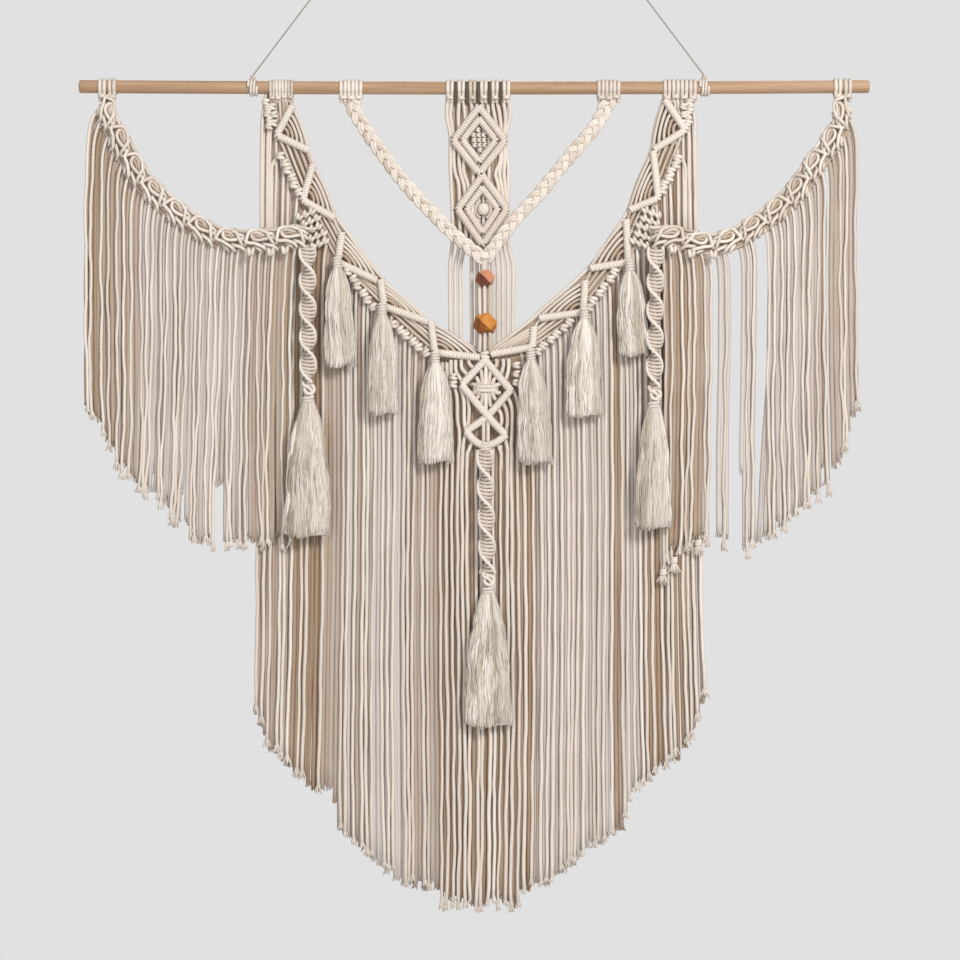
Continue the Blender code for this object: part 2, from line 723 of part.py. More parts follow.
def swag(finish):
    """Both braids, joined at the panel's foot, and the four cords that run through the beads."""
    pieces = []
    for side in ("left", "right"):
        pieces.append(sleeve(*SLEEVES["swag_" + side], finish))
        pieces.append(swag_braid(side, finish))
    for quarter in range(4):
        angle = math.pi / 4 + quarter * math.pi / 2
        path = []
        for x, depth, drop, spread in BEAD_CORDS:
            path.append((x + spread * math.cos(angle), depth + spread * math.sin(angle), drop))
        pieces.append(strand(path, finish, radius=BEAD_CORD_RADIUS, sides=4))
    return fuse("swag", pieces)


def bead(name, finish):
    """A faceted wooden bead (a cuboctahedron) with a bore from top to bottom."""
    spec = BEADS[name]
    tilt = Euler((math.radians(spec.tip), 0, math.radians(spec.turn))).to_matrix()
    middle = at(spec.x, spec.depth, spec.drop)
    bm = bmesh.new()
    for first in (-spec.half, spec.half):
        for second in (-spec.half, spec.half):
            for corner in ((first, second, 0), (first, 0, second), (0, first, second)):
                bm.verts.new(middle + tilt @ Vector(corner) * MM)
    bmesh.ops.convex_hull(bm, input=bm.verts)
    block = add_object(name, bm, finish)
    cutter = bore_cutter(name, spec, finish)
    cut = block.modifiers.new("Bore", "BOOLEAN")
    cut.operation = "DIFFERENCE"
    cut.object = cutter
    return block


def bore_cutter(name, spec, finish):
    """The hidden upright prism that a bead's bore is cut with."""
    rings = []
    for end in (-2 * spec.half, 2 * spec.half):
        ring = []
        for k in range(BEAD_BORE_SIDES):
            angle = 2 * math.pi * k / BEAD_BORE_SIDES
            side, front = BEAD_BORE_RADIUS * math.cos(angle), BEAD_BORE_RADIUS * math.sin(angle)
            ring.append(at(spec.x + side, spec.depth + front, spec.drop + end))
        rings.append(ring)
    cutter = skin(name + "_bore", rings, finish)
    cutter.hide_render = True
    cutter.display_type = "WIRE"
    return cutter


def spiral(side, finish):
    """A half-knot spiral sennit: a flat band of knots that turns as it hangs."""
    spec = SPIRALS[side]
    count = round(spec.half_turns * SPIRAL_RINGS_PER_HALF_TURN) + 1
    top = (spec.x, spec.depth, spec.drop + CLEARANCE)
    rows = evenly([top, (spec.end_x, spec.depth, spec.end_drop)], count)
    sections = []
    for i in range(count):
        size = SPIRAL_END_SHARE if i in (0, count - 1) else 1.0
        turn = math.pi * i / SPIRAL_RINGS_PER_HALF_TURN
        width, thickness = SPIRAL_HALF_WIDTH * size, SPIRAL_HALF_THICKNESS * size
        sections.append(polygon(SPIRAL_SIDES, width, thickness, turn))
    return sweep("spiral_" + side, rows, sections, finish)


def tassel(name, finish):
    """A bound head with two rows of locks of combed cotton fanned out below it."""
    spec = TASSELS[name]
    lean = (spec.end_x - spec.x) / (spec.end_drop - spec.drop)
    path = []
    sections = []
    for share, size in TASSEL_HEAD_PROFILE:
        down = share * TASSEL_HEAD_HEIGHT
        path.append((spec.x + lean * down, spec.depth, spec.drop + CLEARANCE + down))
        sections.append(polygon(TASSEL_HEAD_SIDES, TASSEL_HEAD_RADIUS * size, TASSEL_HEAD_RADIUS * size))
    pieces = [sweep("head", path, sections, finish)]
    across = spec.locks // 2
    for row in (-1, 1):
        for k in range(across):
            pieces.append(lock(spec, lean, row, (2 * k + 1) / across - 1, finish))
    return fuse(name, pieces)


def lock(spec, lean, row, place, finish):
    """One lock of a tassel: row is front or back, place runs from -1 to 1 across it."""
    across = spec.locks // 2
    root_drop = spec.drop + CLEARANCE + TASSEL_HEAD_HEIGHT - LOCK_SUNK
    rows = []
    sections = []
    for share, spread in LOCK_PROFILE:
        here = root_drop + (spec.end_drop - root_drop) * share
        reach = LOCK_ROOT_HALF_WIDTH + (spec.half_width - LOCK_ROOT_HALF_WIDTH) * spread
        row_depth = LOCK_ROOT_DEPTH + (LOCK_FOOT_DEPTH - LOCK_ROOT_DEPTH) * spread
        rows.append((spec.x + lean * (here - spec.drop) + place * reach, spec.depth + row * row_depth, here))
        half = reach / across - LOCK_GAP / 2
        thick = row_depth - LOCK_GAP / 2
        sections.append([(-half, -thick), (half, -thick), (half, thick), (-half, thick)])
    return sweep("lock", rows, sections, finish)


def tie(side, finish):
    """Cord wound round the rod, with a small flat-topped knot that holds the thread."""
    x = TIE_X * (-1 if side == "left" else 1)
    wrap = sleeve(x - TIE_HALF_WIDTH, x + TIE_HALF_WIDTH, 2, finish, TIE_RADIUS, TIE_VALLEY)
    tilt = THREAD_LEAN / math.hypot(1, THREAD_LEAN) * THREAD_DIAMETER / 2
    knot_top = (x, 0, THREAD_FOOT_DROP + CLEARANCE + tilt)
    nub = barrel((x, 0, TIE_KNOT_DROP), knot_top, TIE_KNOT_RADIUS, TIE_KNOT_RADIUS, finish)
    return fuse("tie_" + side, [wrap, nub])


def thread_x(side, drop):
    """Where the thread runs, by drop: each side leans in towards its nail."""
    reach = TIE_X + (drop - THREAD_FOOT_DROP) * THREAD_LEAN
    return reach * (-1 if side == "left" else 1)


def thread(side, finish):
    """The taut hanging thread from the tie up to the loop's knot."""
    length = (THREAD_FOOT_DROP - THREAD_TOP_DROP) * math.hypot(1, THREAD_LEAN)
    count = round(length / (3 * THREAD_DIAMETER)) + 1
    curve = bpy.data.curves.new("thread_" + side, "CURVE")
    curve.dimensions = "3D"
    curve.bevel_depth = THREAD_DIAMETER / 2 * MM
    curve.bevel_resolution = 2
    curve.use_fill_caps = True
    line = curve.splines.new("POLY")
    line.points.add(count - 1)
    for point, drop in zip(line.points, np.linspace(THREAD_FOOT_DROP, THREAD_TOP_DROP, count)):
        point.co = (*at(thread_x(side, drop), 0, drop), 1)
    curve.materials.append(finish)
    made = bpy.data.objects.new("thread_" + side, curve)
    bpy.context.scene.collection.objects.link(made)
    return made


def loop(side, finish):
    """A tied loop of thread that goes over a nail, above its own small knot."""
    half = THREAD_DIAMETER / 2
    radius = LOOP_INNER_RADIUS + half
    along = np.array((THREAD_LEAN if side == "left" else -THREAD_LEAN, 0, -1)) / math.hypot(1, THREAD_LEAN)
    start = np.array((thread_x(side, THREAD_TOP_DROP), 0, THREAD_TOP_DROP)) + along * CLEARANCE
    top = start + along * 2 * LOOP_KNOT_RADIUS
    knot_piece = barrel(start, top, LOOP_KNOT_RADIUS, LOOP_KNOT_RADIUS, finish)
    middle = top + along * (radius - LOOP_SUNK)
    path = []
    for k in range(LOOP_POINTS):
        angle = 2 * math.pi * k / LOOP_POINTS
        path.append((middle[0] + radius * math.sin(angle), 0, middle[2] - radius * math.cos(angle)))
    section = polygon(4, half, half)
    ring = sweep("ring", path, [section] * len(path), finish, closed=True)
    return fuse("loop_" + side, [knot_piece, ring])


def build():
    for old in list(bpy.data.objects):
        bpy.data.objects.remove(old)
    chance = random.Random(SEED)
    rod(material("rod_wood", ROD_WOOD, 0.55))
    wing("left", material("wing_left_cotton", COTTON, 0.9), chance)
    wing("right", material("wing_right_cotton", COTTON, 0.9), chance)
    vee_curtain(material("curtain_cotton", COTTON, 0.9), chance)
    center_panel(material("panel_cotton", COTTON, 0.9), chance)
    swag(material("swag_cotton", COTTON, 0.9))
    bead("bead_small", material("copper_wood", COPPER_WOOD, 0.4))
    bead("bead_large", material("amber_wood", AMBER_WOOD, 0.4))
    for side in SPIRALS:
        spiral(side, material("spiral_cotton_" + side, COTTON, 0.9))
    for name in TASSELS:
        tassel(name, material(name + "_cotton", COMBED_COTTON, 0.95))
    for side in ("left", "right"):
        tie(side, material("tie_cotton_" + side, COTTON, 0.9))
        thread(side, material("thread_" + side, THREAD_GREY, 0.8))
        loop(side, material("loop_thread_" + side, THREAD_GREY, 0.8))


build()
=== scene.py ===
"""The looks of the macrame wall hanging: every cord, knot, tassel and bead as the maker's own strands.

Sizes are millimetres unless a name says otherwise. Rows are x to the right, depth (minus towards the
viewer) and drop below the rod's axis, as in the part's source. The random draws are seeded.
"""

import math
from collections import namedtuple

import bmesh
import bpy
import numpy as np
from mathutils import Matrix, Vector

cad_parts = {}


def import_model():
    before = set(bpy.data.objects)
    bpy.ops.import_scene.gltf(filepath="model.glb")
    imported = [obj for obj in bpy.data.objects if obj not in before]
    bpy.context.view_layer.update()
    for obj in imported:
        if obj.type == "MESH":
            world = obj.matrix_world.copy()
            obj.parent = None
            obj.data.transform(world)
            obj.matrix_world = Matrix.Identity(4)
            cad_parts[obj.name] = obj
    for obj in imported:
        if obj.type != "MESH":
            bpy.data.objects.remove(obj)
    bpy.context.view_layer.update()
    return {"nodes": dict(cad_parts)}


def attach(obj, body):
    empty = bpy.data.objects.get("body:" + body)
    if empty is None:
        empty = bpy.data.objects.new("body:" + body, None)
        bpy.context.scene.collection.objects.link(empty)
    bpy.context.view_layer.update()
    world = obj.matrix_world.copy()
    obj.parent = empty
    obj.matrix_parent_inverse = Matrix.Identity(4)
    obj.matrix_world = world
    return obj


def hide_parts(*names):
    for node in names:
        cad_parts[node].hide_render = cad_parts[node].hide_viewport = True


MM = 0.001
TAU = 2 * math.pi
SEED = 11
# How many points a knotted line is measured on, and how many sides a soft body has round it
LINE_ROWS, BODY_SIDES = 400, 28
# Which way is outwards on each side
OUTWARD = {"left": -1, "right": 1}
# The part's origin is midway between the nails, above the rod
NAIL_DROP = -119.5

# Camera: where it stands in front of the hanging, and how wide it sees
CAMERA_X, CAMERA_DISTANCE, CAMERA_HEIGHT = 1.7, 3500.0, -573.0
VIEW_WIDTH = 1110.7
SENSOR = 36.0

# Studio, in metres and watts
BACKDROP_GREY = 0.753
AMBIENT = 0.42
FLOOR_Z = -1.6
FLOOR_FRONT, FLOOR_BACK, FLOOR_HALF_WIDTH = -4.0, 2.6, 3.6
LIGHT_TARGET = (0, 0, -0.5)
# Round lights: place, diameter, power, colour
LIGHTS = {
    "key": ((1.6, -2.9, 1.25), 1.1, 94, (1.0, 0.985, 0.97)),
    "fill": ((-1.2, -3.4, -0.2), 2.2, 25, (0.99, 0.99, 1.0)),
    "back": ((0.4, 2.6, 0.8), 1.8, 40, (1.0, 1.0, 1.0)),
}

# Colours of each material, where it is lightest and where it is darkest
COTTON_LIGHT, COTTON_DARK = (0.825, 0.752, 0.675), (0.40, 0.288, 0.20)
# Shaded cotton is a darker copy with painted shade, for the layers of fringe behind
SHADED_LIGHT, SHADED_DARK = (0.62, 0.57, 0.53), (0.37, 0.26, 0.175)
COMBED_LIGHT, COMBED_DARK = (0.86, 0.80, 0.725), (0.43, 0.36, 0.285)
THREAD_LIGHT, THREAD_DARK = (0.56, 0.54, 0.50), (0.34, 0.32, 0.29)
ROD_LIGHT, ROD_DARK = (0.57, 0.39, 0.255), (0.34, 0.20, 0.11)
COPPER_LIGHT, COPPER_DARK = (0.61, 0.265, 0.147), (0.15, 0.045, 0.03)
AMBER_LIGHT, AMBER_DARK = (0.62, 0.25, 0.052), (0.24, 0.07, 0.012)
FLOOR_LIGHT, FLOOR_DARK = (0.76, 0.76, 0.75), (0.72, 0.72, 0.71)
# How fine wood's streaks and its broad bands are along x, y and z, in waves a metre
ROD_GRAIN, ROD_BANDS = (6.0, 160.0, 160.0), (2.0, 40.0, 40.0)
BEAD_GRAIN, BEAD_BANDS = (140.0, 140.0, 30.0), (60.0, 60.0, 20.0)
ROD_ROUGHNESS, BEAD_ROUGHNESS = 0.5, 0.38
# How much painted light the beads' upper and right faces take
BEAD_PAINTED_LIGHT = 0.34
# Plies of a cord, how many centimetres one winds round in, and how deep the grooves are in metres
CORD_PLIES, CORD_LAY, CORD_GROOVE = 3.0, 1.5, 0.00014
THREAD_PLIES, THREAD_LAY, THREAD_GROOVE = 2.0, 0.35, 0.00012

# Rod and hanging thread
ROD_LEFT, ROD_RIGHT = -462.0, 452.0
ROD_RADIUS = 7.5
ROD_BOW = 1.7
ROD_ROUNDING = 2.2
TIE_X = 261.0
TIE_WIDTH, TIE_RADIUS, TIE_CORD, TIE_TURNS = 10.0, 9.1, 1.55, 3
TIE_KNOT_DROP, TIE_KNOT_CORD = -12.0, 1.1
THREAD_DIAMETER = 1.8
THREAD_FOOT_DROP, THREAD_TOP_DROP = -14.6, -106.5
THREAD_LEAN = 0.756
LOOP_RADIUS = 5.9
LOOP_KNOT_RADIUS, LOOP_KNOT_CORD = 2.4, 0.85
CLEARANCE = 0.3

# Cord; a tone near nought is a cord painted with the shade of others, and one near one is the palest. The
# back and arm tones paint shade on cords behind and between knots
FRONT_TONE, BACK_TONE, KNOT_TONE, ARM_TONE = 0.62, 0.22, 0.62, 0.44
TONE_SPREAD = 0.12
# Strips of painted shadow on the rod, in the gaps between the panel's knots
SHADOW_STRIP_CORD, SHADOW_STRIP_TONE = 1.9, -0.48
CORD = 2.3
WRAP_RADIUS = 7.9

# Lark's head knots on the rod: left end, right end, how many
HEADS = {
    "wing_left": (-440.5, -418.0, 2),
    "wing_right": (409.5, 432.5, 2),
    "vee_left": (-242.0, -214.0, 4),
    "vee_right": (213.0, 252.5, 4),
    "swag_left": (-161.0, -134.0, 3),
    "swag_right": (137.0, 164.0, 3),
    "panel": (-39.5, 38.5, 6),
}

# Wing garlands, middle line: x, depth, drop
WING_LINES = {
    "left": (
        (-429.5, -1.5, 9.2), (-430, -2.5, 17), (-430.5, -4, 29), (-421, -4, 50), (-410, -4, 73),
        (-391, -4, 104.5), (-367, -4, 129.5), (-345, -4, 148), (-319, -5, 165), (-287, -8, 177),
        (-242, -14, 177), (-212, -17, 173.5), (-199, -17, 175),
    ),
    "right": (
        (421, -1.5, 9.2), (421, -2.5, 17), (419, -4, 41), (407, -4, 64), (386, -4, 93), (368, -4, 119),
        (346, -4, 141), (318, -5, 162), (291, -8, 177), (262, -12, 182), (230, -17, 175), (203, -17, 174),
    ),
}
WING_UNITS = 9
WING_OUTER = {"left": 452.5, "right": 440.5}
WING_SPREAD = {"left": 4.0, "right": 0.0}
WING_INNER = 214.0
WING_CORD = 1.8
WING_PITCH = 7.6
WING_BACK_PITCH = 4.5
# Strands over the curtain hang further forward than those beyond it
WING_OVER_CURTAIN, WING_OVER_CURTAIN_DEPTH, WING_DEPTH = 268.0, -6.0, -3.0
# A wing's strands hang in clumps: most strands in one, widest gap between two, closest its tips gather
CLUMP_MOST, CLUMP_GAP, CLUMP_CLOSEST = 3, 3.5, 0.35
# Cords of one knot of a wing's garland. Rows are distance along it, distance towards its upper edge
# and distance forwards, for a knot GARLAND_UNIT long.
GARLAND_UNIT = 36.5
GARLAND_CORDS = (
    # Crosses upwards, goes over the oval along the upper edge and comes back to the next knot
    ((1.0, -5.5, 0.5), (2.7, -2.6, 5.0), (4.7, 4.2, 7.0), (7.0, 10.4, 4.6), (11.0, 12.4, 1.6),
     (16.0, 12.2, 1.0), (20.5, 11.8, 2.6), (24.5, 10.0, 4.2), (29.0, 8.0, 4.6), (33.5, 6.6, 2.6),
     (37.0, 5.0, -1.5)),
    # Crosses it downwards, lies along the lower side and turns down to the fringe
    ((-3.0, 6.0, -0.5), (0.6, 2.2, 3.6), (3.9, -1.7, 7.0), (8.0, -2.8, 6.8), (12.5, -3.2, 6.6),
     (17.0, -4.9, 6.8), (21.0, -6.8, 6.0), (24.5, -9.2, 4.0), (26.4, -11.6, 0.0)),
    # Rim of the oval, and on to the next knot
    ((9.0, 8.5, 1.6), (9.8, 4.6, 4.2), (13.6, 1.2, 5.6), (19.0, 0.2, 5.8), (25.0, 0.9, 5.6),
     (31.0, 2.2, 4.8), (35.0, 2.0, 3.0), (38.5, -0.5, 0.0)),
    # Within the oval
    ((9.6, 8.2, 1.4), (13.0, 9.0, 3.2), (18.0, 8.4, 3.4), (24.0, 5.6, 2.4), (29.0, 4.4, 0.6)),
    ((10.4, 6.0, 1.0), (14.0, 5.0, 2.6), (19.0, 4.6, 2.6), (24.0, 3.4, 1.0)),
    # Outer cord of the upper edge, between knots
    ((21.0, 13.4, -1.8), (26.0, 12.4, -0.6), (32.0, 11.2, 0.2), (38.0, 11.0, 0.4), (43.0, 12.0, -0.6)),
    # Short cords of the lower edge, which turn down to the fringe
    ((22.0, -3.6, 1.0), (26.0, -5.4, 4.6), (31.0, -6.4, 5.4), (35.0, -8.2, 4.4), (37.6, -10.8, 1.0),
     (38.0, -12.6, -2.0)),
    ((12.0, -6.4, 0.5), (15.6, -8.4, 3.0), (18.6, -10.4, 2.4), (20.0, -12.6, -1.6)),
    # Crossing over the oval's narrow end
    ((25.0, 13.2, 0.0), (27.4, 9.6, 4.6), (30.4, 4.4, 6.6), (33.4, -1.4, 5.6), (35.4, -5.6, 2.0)),
)
# Tone of each; the darkest, for the cords within the oval, are painted shade
GARLAND_TONES = (0.68, 0.66, 0.7, 0.4, 0.22, 0.5, 0.62, 0.6, 0.66)
GARLAND_RADIUS = 2.05
# How far from the line, towards its upper edge, the cords behind the knots run
GARLAND_BACKS = (-10.0, -6.5, -3.0, 0.5, 4.0, 7.5, 9.5)
# Open places of the fringes: distances from the hanging's middle
WING_GAPS = {"left": (), "right": ((269, 277), (288, 302), (322, 337), (402, 409))}
# Strands behind that drift into an open place as they fall: distance at the top, distance at the end
WING_DRIFTS = {"left": (), "right": ((345, 325.5), (350, 332.0))}
# Where the strands behind end early and those in front part: two distances and the drop they end at
WING_PARTS = {
    "left": ((289, 302, 452), (336, 340, 458), (372, 376, 436)),
    "right": ((303, 308, 432), (331, 336, 505), (394, 399, 425)),
}
# Where only the strands behind are seen
WING_BARE = {"left": ((229, 237), (252, 256.5)), "right": ()}
# Knotted tufts among the lower ends: x, drop
WING_TUFTS = {"left": (), "right": ((254, 529), (226, 549), (213.5, 563))}
GATHER_DEPTH, GATHER_SIZE = -19.0, 5.0
# Knots that gather the fringe under the garland's inner end: x, drop
WING_GATHERS = {
    "left": ((-262, 191), (-239, 191), (-222.5, 189)),
    "right": ((270, 194), (245, 193), (224, 188)),
}
# Painted shade on the layer behind, as its tone: distance from the hanging's middle, tone
WING_PAINTED_SHADE = {
    "left": ((200, 0.2), (262, 0.35), (272, 0.65), (385, 0.65), (398, 0.25), (460, 0.2)),
    "right": (
        (200, 0.1), (258, 0.2), (266, 1.0), (322, 1.0), (336, 0.7), (385, 0.6), (398, 0.4), (460, 0.4),
    ),
}
# Lower ends of the fringe: x, drop
WING_ENDS = {
    "left": (
        (-455, 379), (-429, 419), (-417, 448), (-392, 471), (-368, 486), (-340, 512), (-322, 532),
        (-285, 537), (-241, 535), (-224, 533),
    ),
    "right": (
        (213, 560), (226, 549), (254, 529), (289, 533), (305, 547), (337, 529), (355, 512), (372, 495),
        (401, 471), (418, 437), (440, 366),
    ),
}

# Leaves of the V garland: inner corner, outer point, next inner corner, each x and drop
LEAVES = {
    "left": (
        ((-215.8, 22), (-233.1, 55), (-197.3, 72.3)),
        ((-191.5, 89.7), (-203, 130), (-166, 151)),
        ((-157.9, 168.3), (-162.6, 201.9), (-117.4, 222.7)),
        ((-112.8, 222.7), (-109.3, 252.8), (-59.6, 270.1)),
        ((-55, 271.3), (-50.3, 306), (2, 311.8)),
    ),
    "right": (
        ((215.8, 14.5), (238.9, 49.2), (201.9, 72.3)),
        ((201.9, 74), (207.7, 127.9), (174.1, 141.7)),
        ((170.7, 153.3), (173, 201.9), (129, 208.8)),
        ((123.2, 223.9), (120.9, 259.7), (70, 266.7)),
        ((64.2, 277.1), (61.9, 300), (14, 308)),
    ),
}
LEAF_CORDS = 5
FAN_CORDS = 5
# The first fan's cords leave the rod between these distances from the middle
TOP_FAN_INNER, TOP_FAN_OUTER, TOP_FAN_DROP = 216, 236, 12
LEAF_DEPTH = -4.6
FAN_DEPTH = -1.4
BACK_DEPTH = 3.4

# Inner edge of each arm of the V: x, drop
VEE_INNER = {
    "left": (
        (-217, 9), (-208, 43), (-196, 75), (-182, 110), (-166, 145), (-146, 174), (-127, 201), (-94, 238),
        (-61, 270), (-49, 276), (-24, 290), (4, 306),
    ),
    "right": (
        (215, 9), (204, 43), (198, 75), (183, 110), (171, 144), (151, 174), (131, 203), (101, 232),
        (73, 256), (60, 268), (39, 285), (10, 306),
    ),
}
# Its lower, outer edge
VEE_OUTER = {
    "left": (
        (-237, 9), (-231, 61), (-226, 84), (-213, 116), (-204, 149), (-181, 180), (-160, 207),
        (-122, 253), (-91, 278), (-58, 308), (-27, 313), (4, 316),
    ),
    "right": (
        (235, 9), (230, 58), (226, 87), (213, 117), (204, 140), (183, 180), (163, 213), (128, 253),
        (101, 277), (69, 304), (42, 312), (10, 316),
    ),
}
# Rows of small knots: first and last knot's x and drop, how many; a long row's knots are larger
BERRY_DEPTH, LARGE_BERRY, SMALL_BERRY = -4.8, 5.0, 4.4
BERRY_ROWS = {
    "left": (
        ((-245, 17), (-241, 45), 5), ((-238, 22), (-236, 41), 3), ((-228, 79), (-208, 121), 6),
        ((-151, 213), (-122, 254), 6), ((-98, 274), (-61, 307), 6),
    ),
    "right": (
        ((245, 17), (241, 45), 5), ((238, 22), (236, 41), 3), ((231, 82), (212, 119), 6),
        ((158, 213), (127, 254), 6), ((106, 271), (68, 305), 6),
    ),
}

CURTAIN_HALF_WIDTH = 249.5
CURTAIN_FLARE = 0.05
# Painted shade on the layer behind, from deep brown shade at nought to pale grey at one: x, tone
CURTAIN_PAINTED_SHADE = (
    (-250, 0.35), (-212, 0.3), (-206, -0.05), (-180, -0.05), (-176, 0.25), (-158, 0.35), (-150, 0.75),
    (-148, 0.75), (-143, 0.35), (-127, 0.35), (-122, 0.8), (-84, 0.8), (-79, 0.4), (-65, 0.4),
    (-60, 0.75), (-46, 0.1), (60, 0.1), (66, 0.45), (76, 0.7), (150, 0.75), (154, 0.15), (163, 0.15),
    (168, 0.7), (185, 0.6), (196, 0.0), (212, 0.0), (218, 0.3), (222, -0.1), (229, -0.1), (233, 0.3),
    (250, 0.35),
)
# Where the front strands leave the layer behind open, from one x to another
CURTAIN_BARE = (
    (-197.0, -178.5), (-178.5, -157.0), (-120.5, -111.5), (-58.0, -43.0), (46.0, 46.5), (62.5, 72.0),
    (96.0, 102.5), (121.5, 129.5), (153.5, 164.0), (222.0, 231.0),
)
CURTAIN_PITCH = 7.3
CURTAIN_BACK_STRANDS = 106
# The strands beyond this end in looser tufts
CURTAIN_LOOSE = 176.0
BACK_LAYER = 4.0
# How much shorter a strand can be than its neighbours, and how far its top bends over to its knot
CURTAIN_RAGGED, WING_RAGGED, PANEL_RAGGED = 11.0, 12.0, 12.0
CURTAIN_KICK, WING_KICK_LENGTH = 4.5, 12.0
FRONT_CORD, BACK_CORD = 2.05, 2.85
# Lower ends: x, drop
CURTAIN_ENDS = (
    (-264, 706), (-245, 766), (-218, 788), (-198, 810), (-167, 823), (-160, 865), (-131, 885),
    (-105, 911), (-87, 925), (-54, 930), (0, 934), (53, 936), (83, 925), (114, 898), (150, 869),
    (167, 863), (178, 817), (189, 810), (209, 794), (231, 777), (246, 755), (257, 728), (264, 699),
)

# Blocks of small knots beside the wings' tips: the first and last row's middle, x and drop
CLUSTERS = {
    "left": (((-199.5, 147), (-184, 181)),),
    "right": (((200, 145), (186, 180)),),
}
CLUSTER_COLUMNS, CLUSTER_ROWS, CLUSTER_STEP = 3, 5, 8.0
CLUSTER_DEPTH, CLUSTER_SIZE = -7.5, 4.3
# Strands at the right outer edge of the V, which leave the rod through a few small knots; the left ones
# mirror them
SIDE_STRANDS = (
    ((243, -1, 14), (249, -2, 30), (250.5, -1, 60), (251, 0, 120), (251, 0, 190)),
    ((240, -1, 40), (243.4, -1, 56), (244, 0, 90), (244.5, 0, 190)),
    ((232, 0, 78), (238.5, -1, 90), (239.5, 0, 110), (239.5, 0, 190)),
)

# Diamonds of the panel, each midway between its two rings; its middle is at x and drop
Diamond = namedtuple("Diamond", "x drop half_width above below depth")
UPPER_DIAMOND = Diamond(0.7, 60.8, 24.3, 31.1, 31.1, -3.8)
LOWER_DIAMOND = Diamond(4.4, 140.4, 22.9, 31.0, 34.0, -3.8)
RING_OFFSET = 4.5
BOBBLE_RADIUS, BOBBLE_TURNS = 6.6, 7
# Bars of tight half hitches: how far the cord winds sideways and forwards, pitch, thickness
BAR_SIDE, BAR_FRONT, BAR_PITCH, BAR_CORD = 2.9, 2.6, 3.0, 1.95
# The panel's twelve cords as far as the swag: x, drop
PANEL_CORDS = (
    (
        (-36.2, 13.5), (-36.8, 29.7), (-35.2, 42), (-32.6, 55), (-32.6, 88.7), (-31.3, 118), (-30.2, 140),
        (-30.2, 177),
    ),
    (
        (-30.3, 13.5), (-32.5, 29.7), (-30.8, 44.5), (-28, 64), (-28.8, 82), (-26.9, 99), (-22.6, 116),
        (-22, 177),
    ),
    (
        (-22.5, 13.5), (-23.4, 34.1), (-22, 60), (-22.6, 84), (-20.9, 99), (-16.5, 115), (-15, 140),
        (-15, 177),
    ),
    (
        (-17.5, 13.5), (-15.6, 32.6), (-14, 60), (-17.3, 88), (-16.3, 100), (-12.5, 110.9), (-8, 140),
        (-8, 177),
    ),
    ((-9.7, 13.5), (-7.4, 25.3), (-6, 60), (-6, 140), (-3, 177)),
    ((-3.8, 13.5), (-2, 22), (0, 60), (0, 140), (1, 177)),
    ((3, 13.5), (5, 22), (6, 60), (6, 140), (6, 177)),
    ((9, 13.5), (11, 24), (12, 60), (12, 140), (12, 177)),
    ((16, 13.5), (17, 24), (20, 40), (24, 60), (25, 84), (19.5, 99), (23, 115), (22, 140), (18, 177)),
    ((21, 13.5), (24, 28), (26, 45), (25, 60), (27, 78), (24.4, 99), (27.5, 120), (28, 140), (25, 177)),
    (
        (28, 13.5), (31, 30), (30.5, 46), (27.5, 60), (30.4, 77), (29.4, 99), (31.4, 122), (31.6, 140),
        (29, 177),
    ),
    (
        (34, 13.5), (36.4, 22), (36.4, 33), (33.6, 45), (30.2, 56), (31.4, 68), (34.4, 88), (34.4, 110),
        (34.2, 132), (34.2, 150), (34, 177),
    ),
)
# Where each of them hangs from there to the V
PANEL_MIDDLE_X = (-33, -27, -21, -8, -2, 4, 10, 16, 22, 28, 34, 40)

# Diamond and box at the V's point, and the cords round them: x, drop
DROP_TOP, DROP_LEFT, DROP_RIGHT, DROP_CROSS = (7.5, 314.8), (-19.7, 343.8), (37.0, 349.8), (10.3, 379.4)
BOX_LEFT, BOX_RIGHT = (-14.2, 397.3), (31.5, 402.0)
BOX_BOTTOM = ((-4.5, 408.4), (7.0, 413.9), (19.5, 410.3))
DROP_DEPTH = -5.8
DROP_MIDDLE = (8.4, 348.0)
DROP_ARCS = (
    ((-26.6, 315), (-26, 328), (-19.5, 339)), ((-20, 314), (-19.4, 324), (-13.0, 332)),
    ((-11.5, 313), (-10.5, 319), (-5.5, 325)),
    (
        (-32, 315), (-31.5, 333), (-28.0, 346), (-25.5, 356), (-24.8, 366), (-24.5, 385), (-22.5, 396),
        (-22.4, 412), (-23.5, 431),
    ),
    ((-20.5, 347), (-17.6, 358), (-16.8, 368), (-16.8, 379), (-16, 390), (-13, 398)),
    ((-13.5, 354), (-11.4, 366), (-11.0, 374), (-11.4, 383), (-11.8, 390), (-9, 396)),
    ((20.5, 314), (21.0, 319), (18.5, 325)), ((28.6, 314), (28.6, 322), (25.8, 331)),
    ((34.9, 314), (34.6, 326), (31.6, 337)),
    ((33.5, 341), (41.2, 352), (45.3, 363), (47.1, 378), (47.1, 397), (45.5, 431)),
    ((31.5, 354), (37.0, 364.6), (39.0, 374), (39.0, 392), (38.0, 412), (38.5, 431)),
    ((25.5, 361), (31.0, 370), (33.2, 379.4), (32.8, 391), (29.5, 401)),
    ((20.5, 369), (25.4, 376), (26.6, 383), (25.6, 390), (21.5, 396)),
    ((-14, 399), (-17.4, 410), (-18.5, 431)), ((-7, 408), (-11.2, 419), (-13, 431)),
    ((30, 403), (33.2, 416), (33.5, 431)), ((22, 411), (25.4, 421), (26, 431)),
)
# Cords left of the diamond: x at the top, x at the end
DROP_SIDE_CORDS = ((-37, -36.5), (-42, -43), (-33, -30))
# The wound foot below the box, middle line: x, depth, drop
DROP_FOOT = ((8, -6.0, 411), (8, -6.4, 417), (8, -7.0, 424))
DROP_KNOT_DEPTH = -5.0
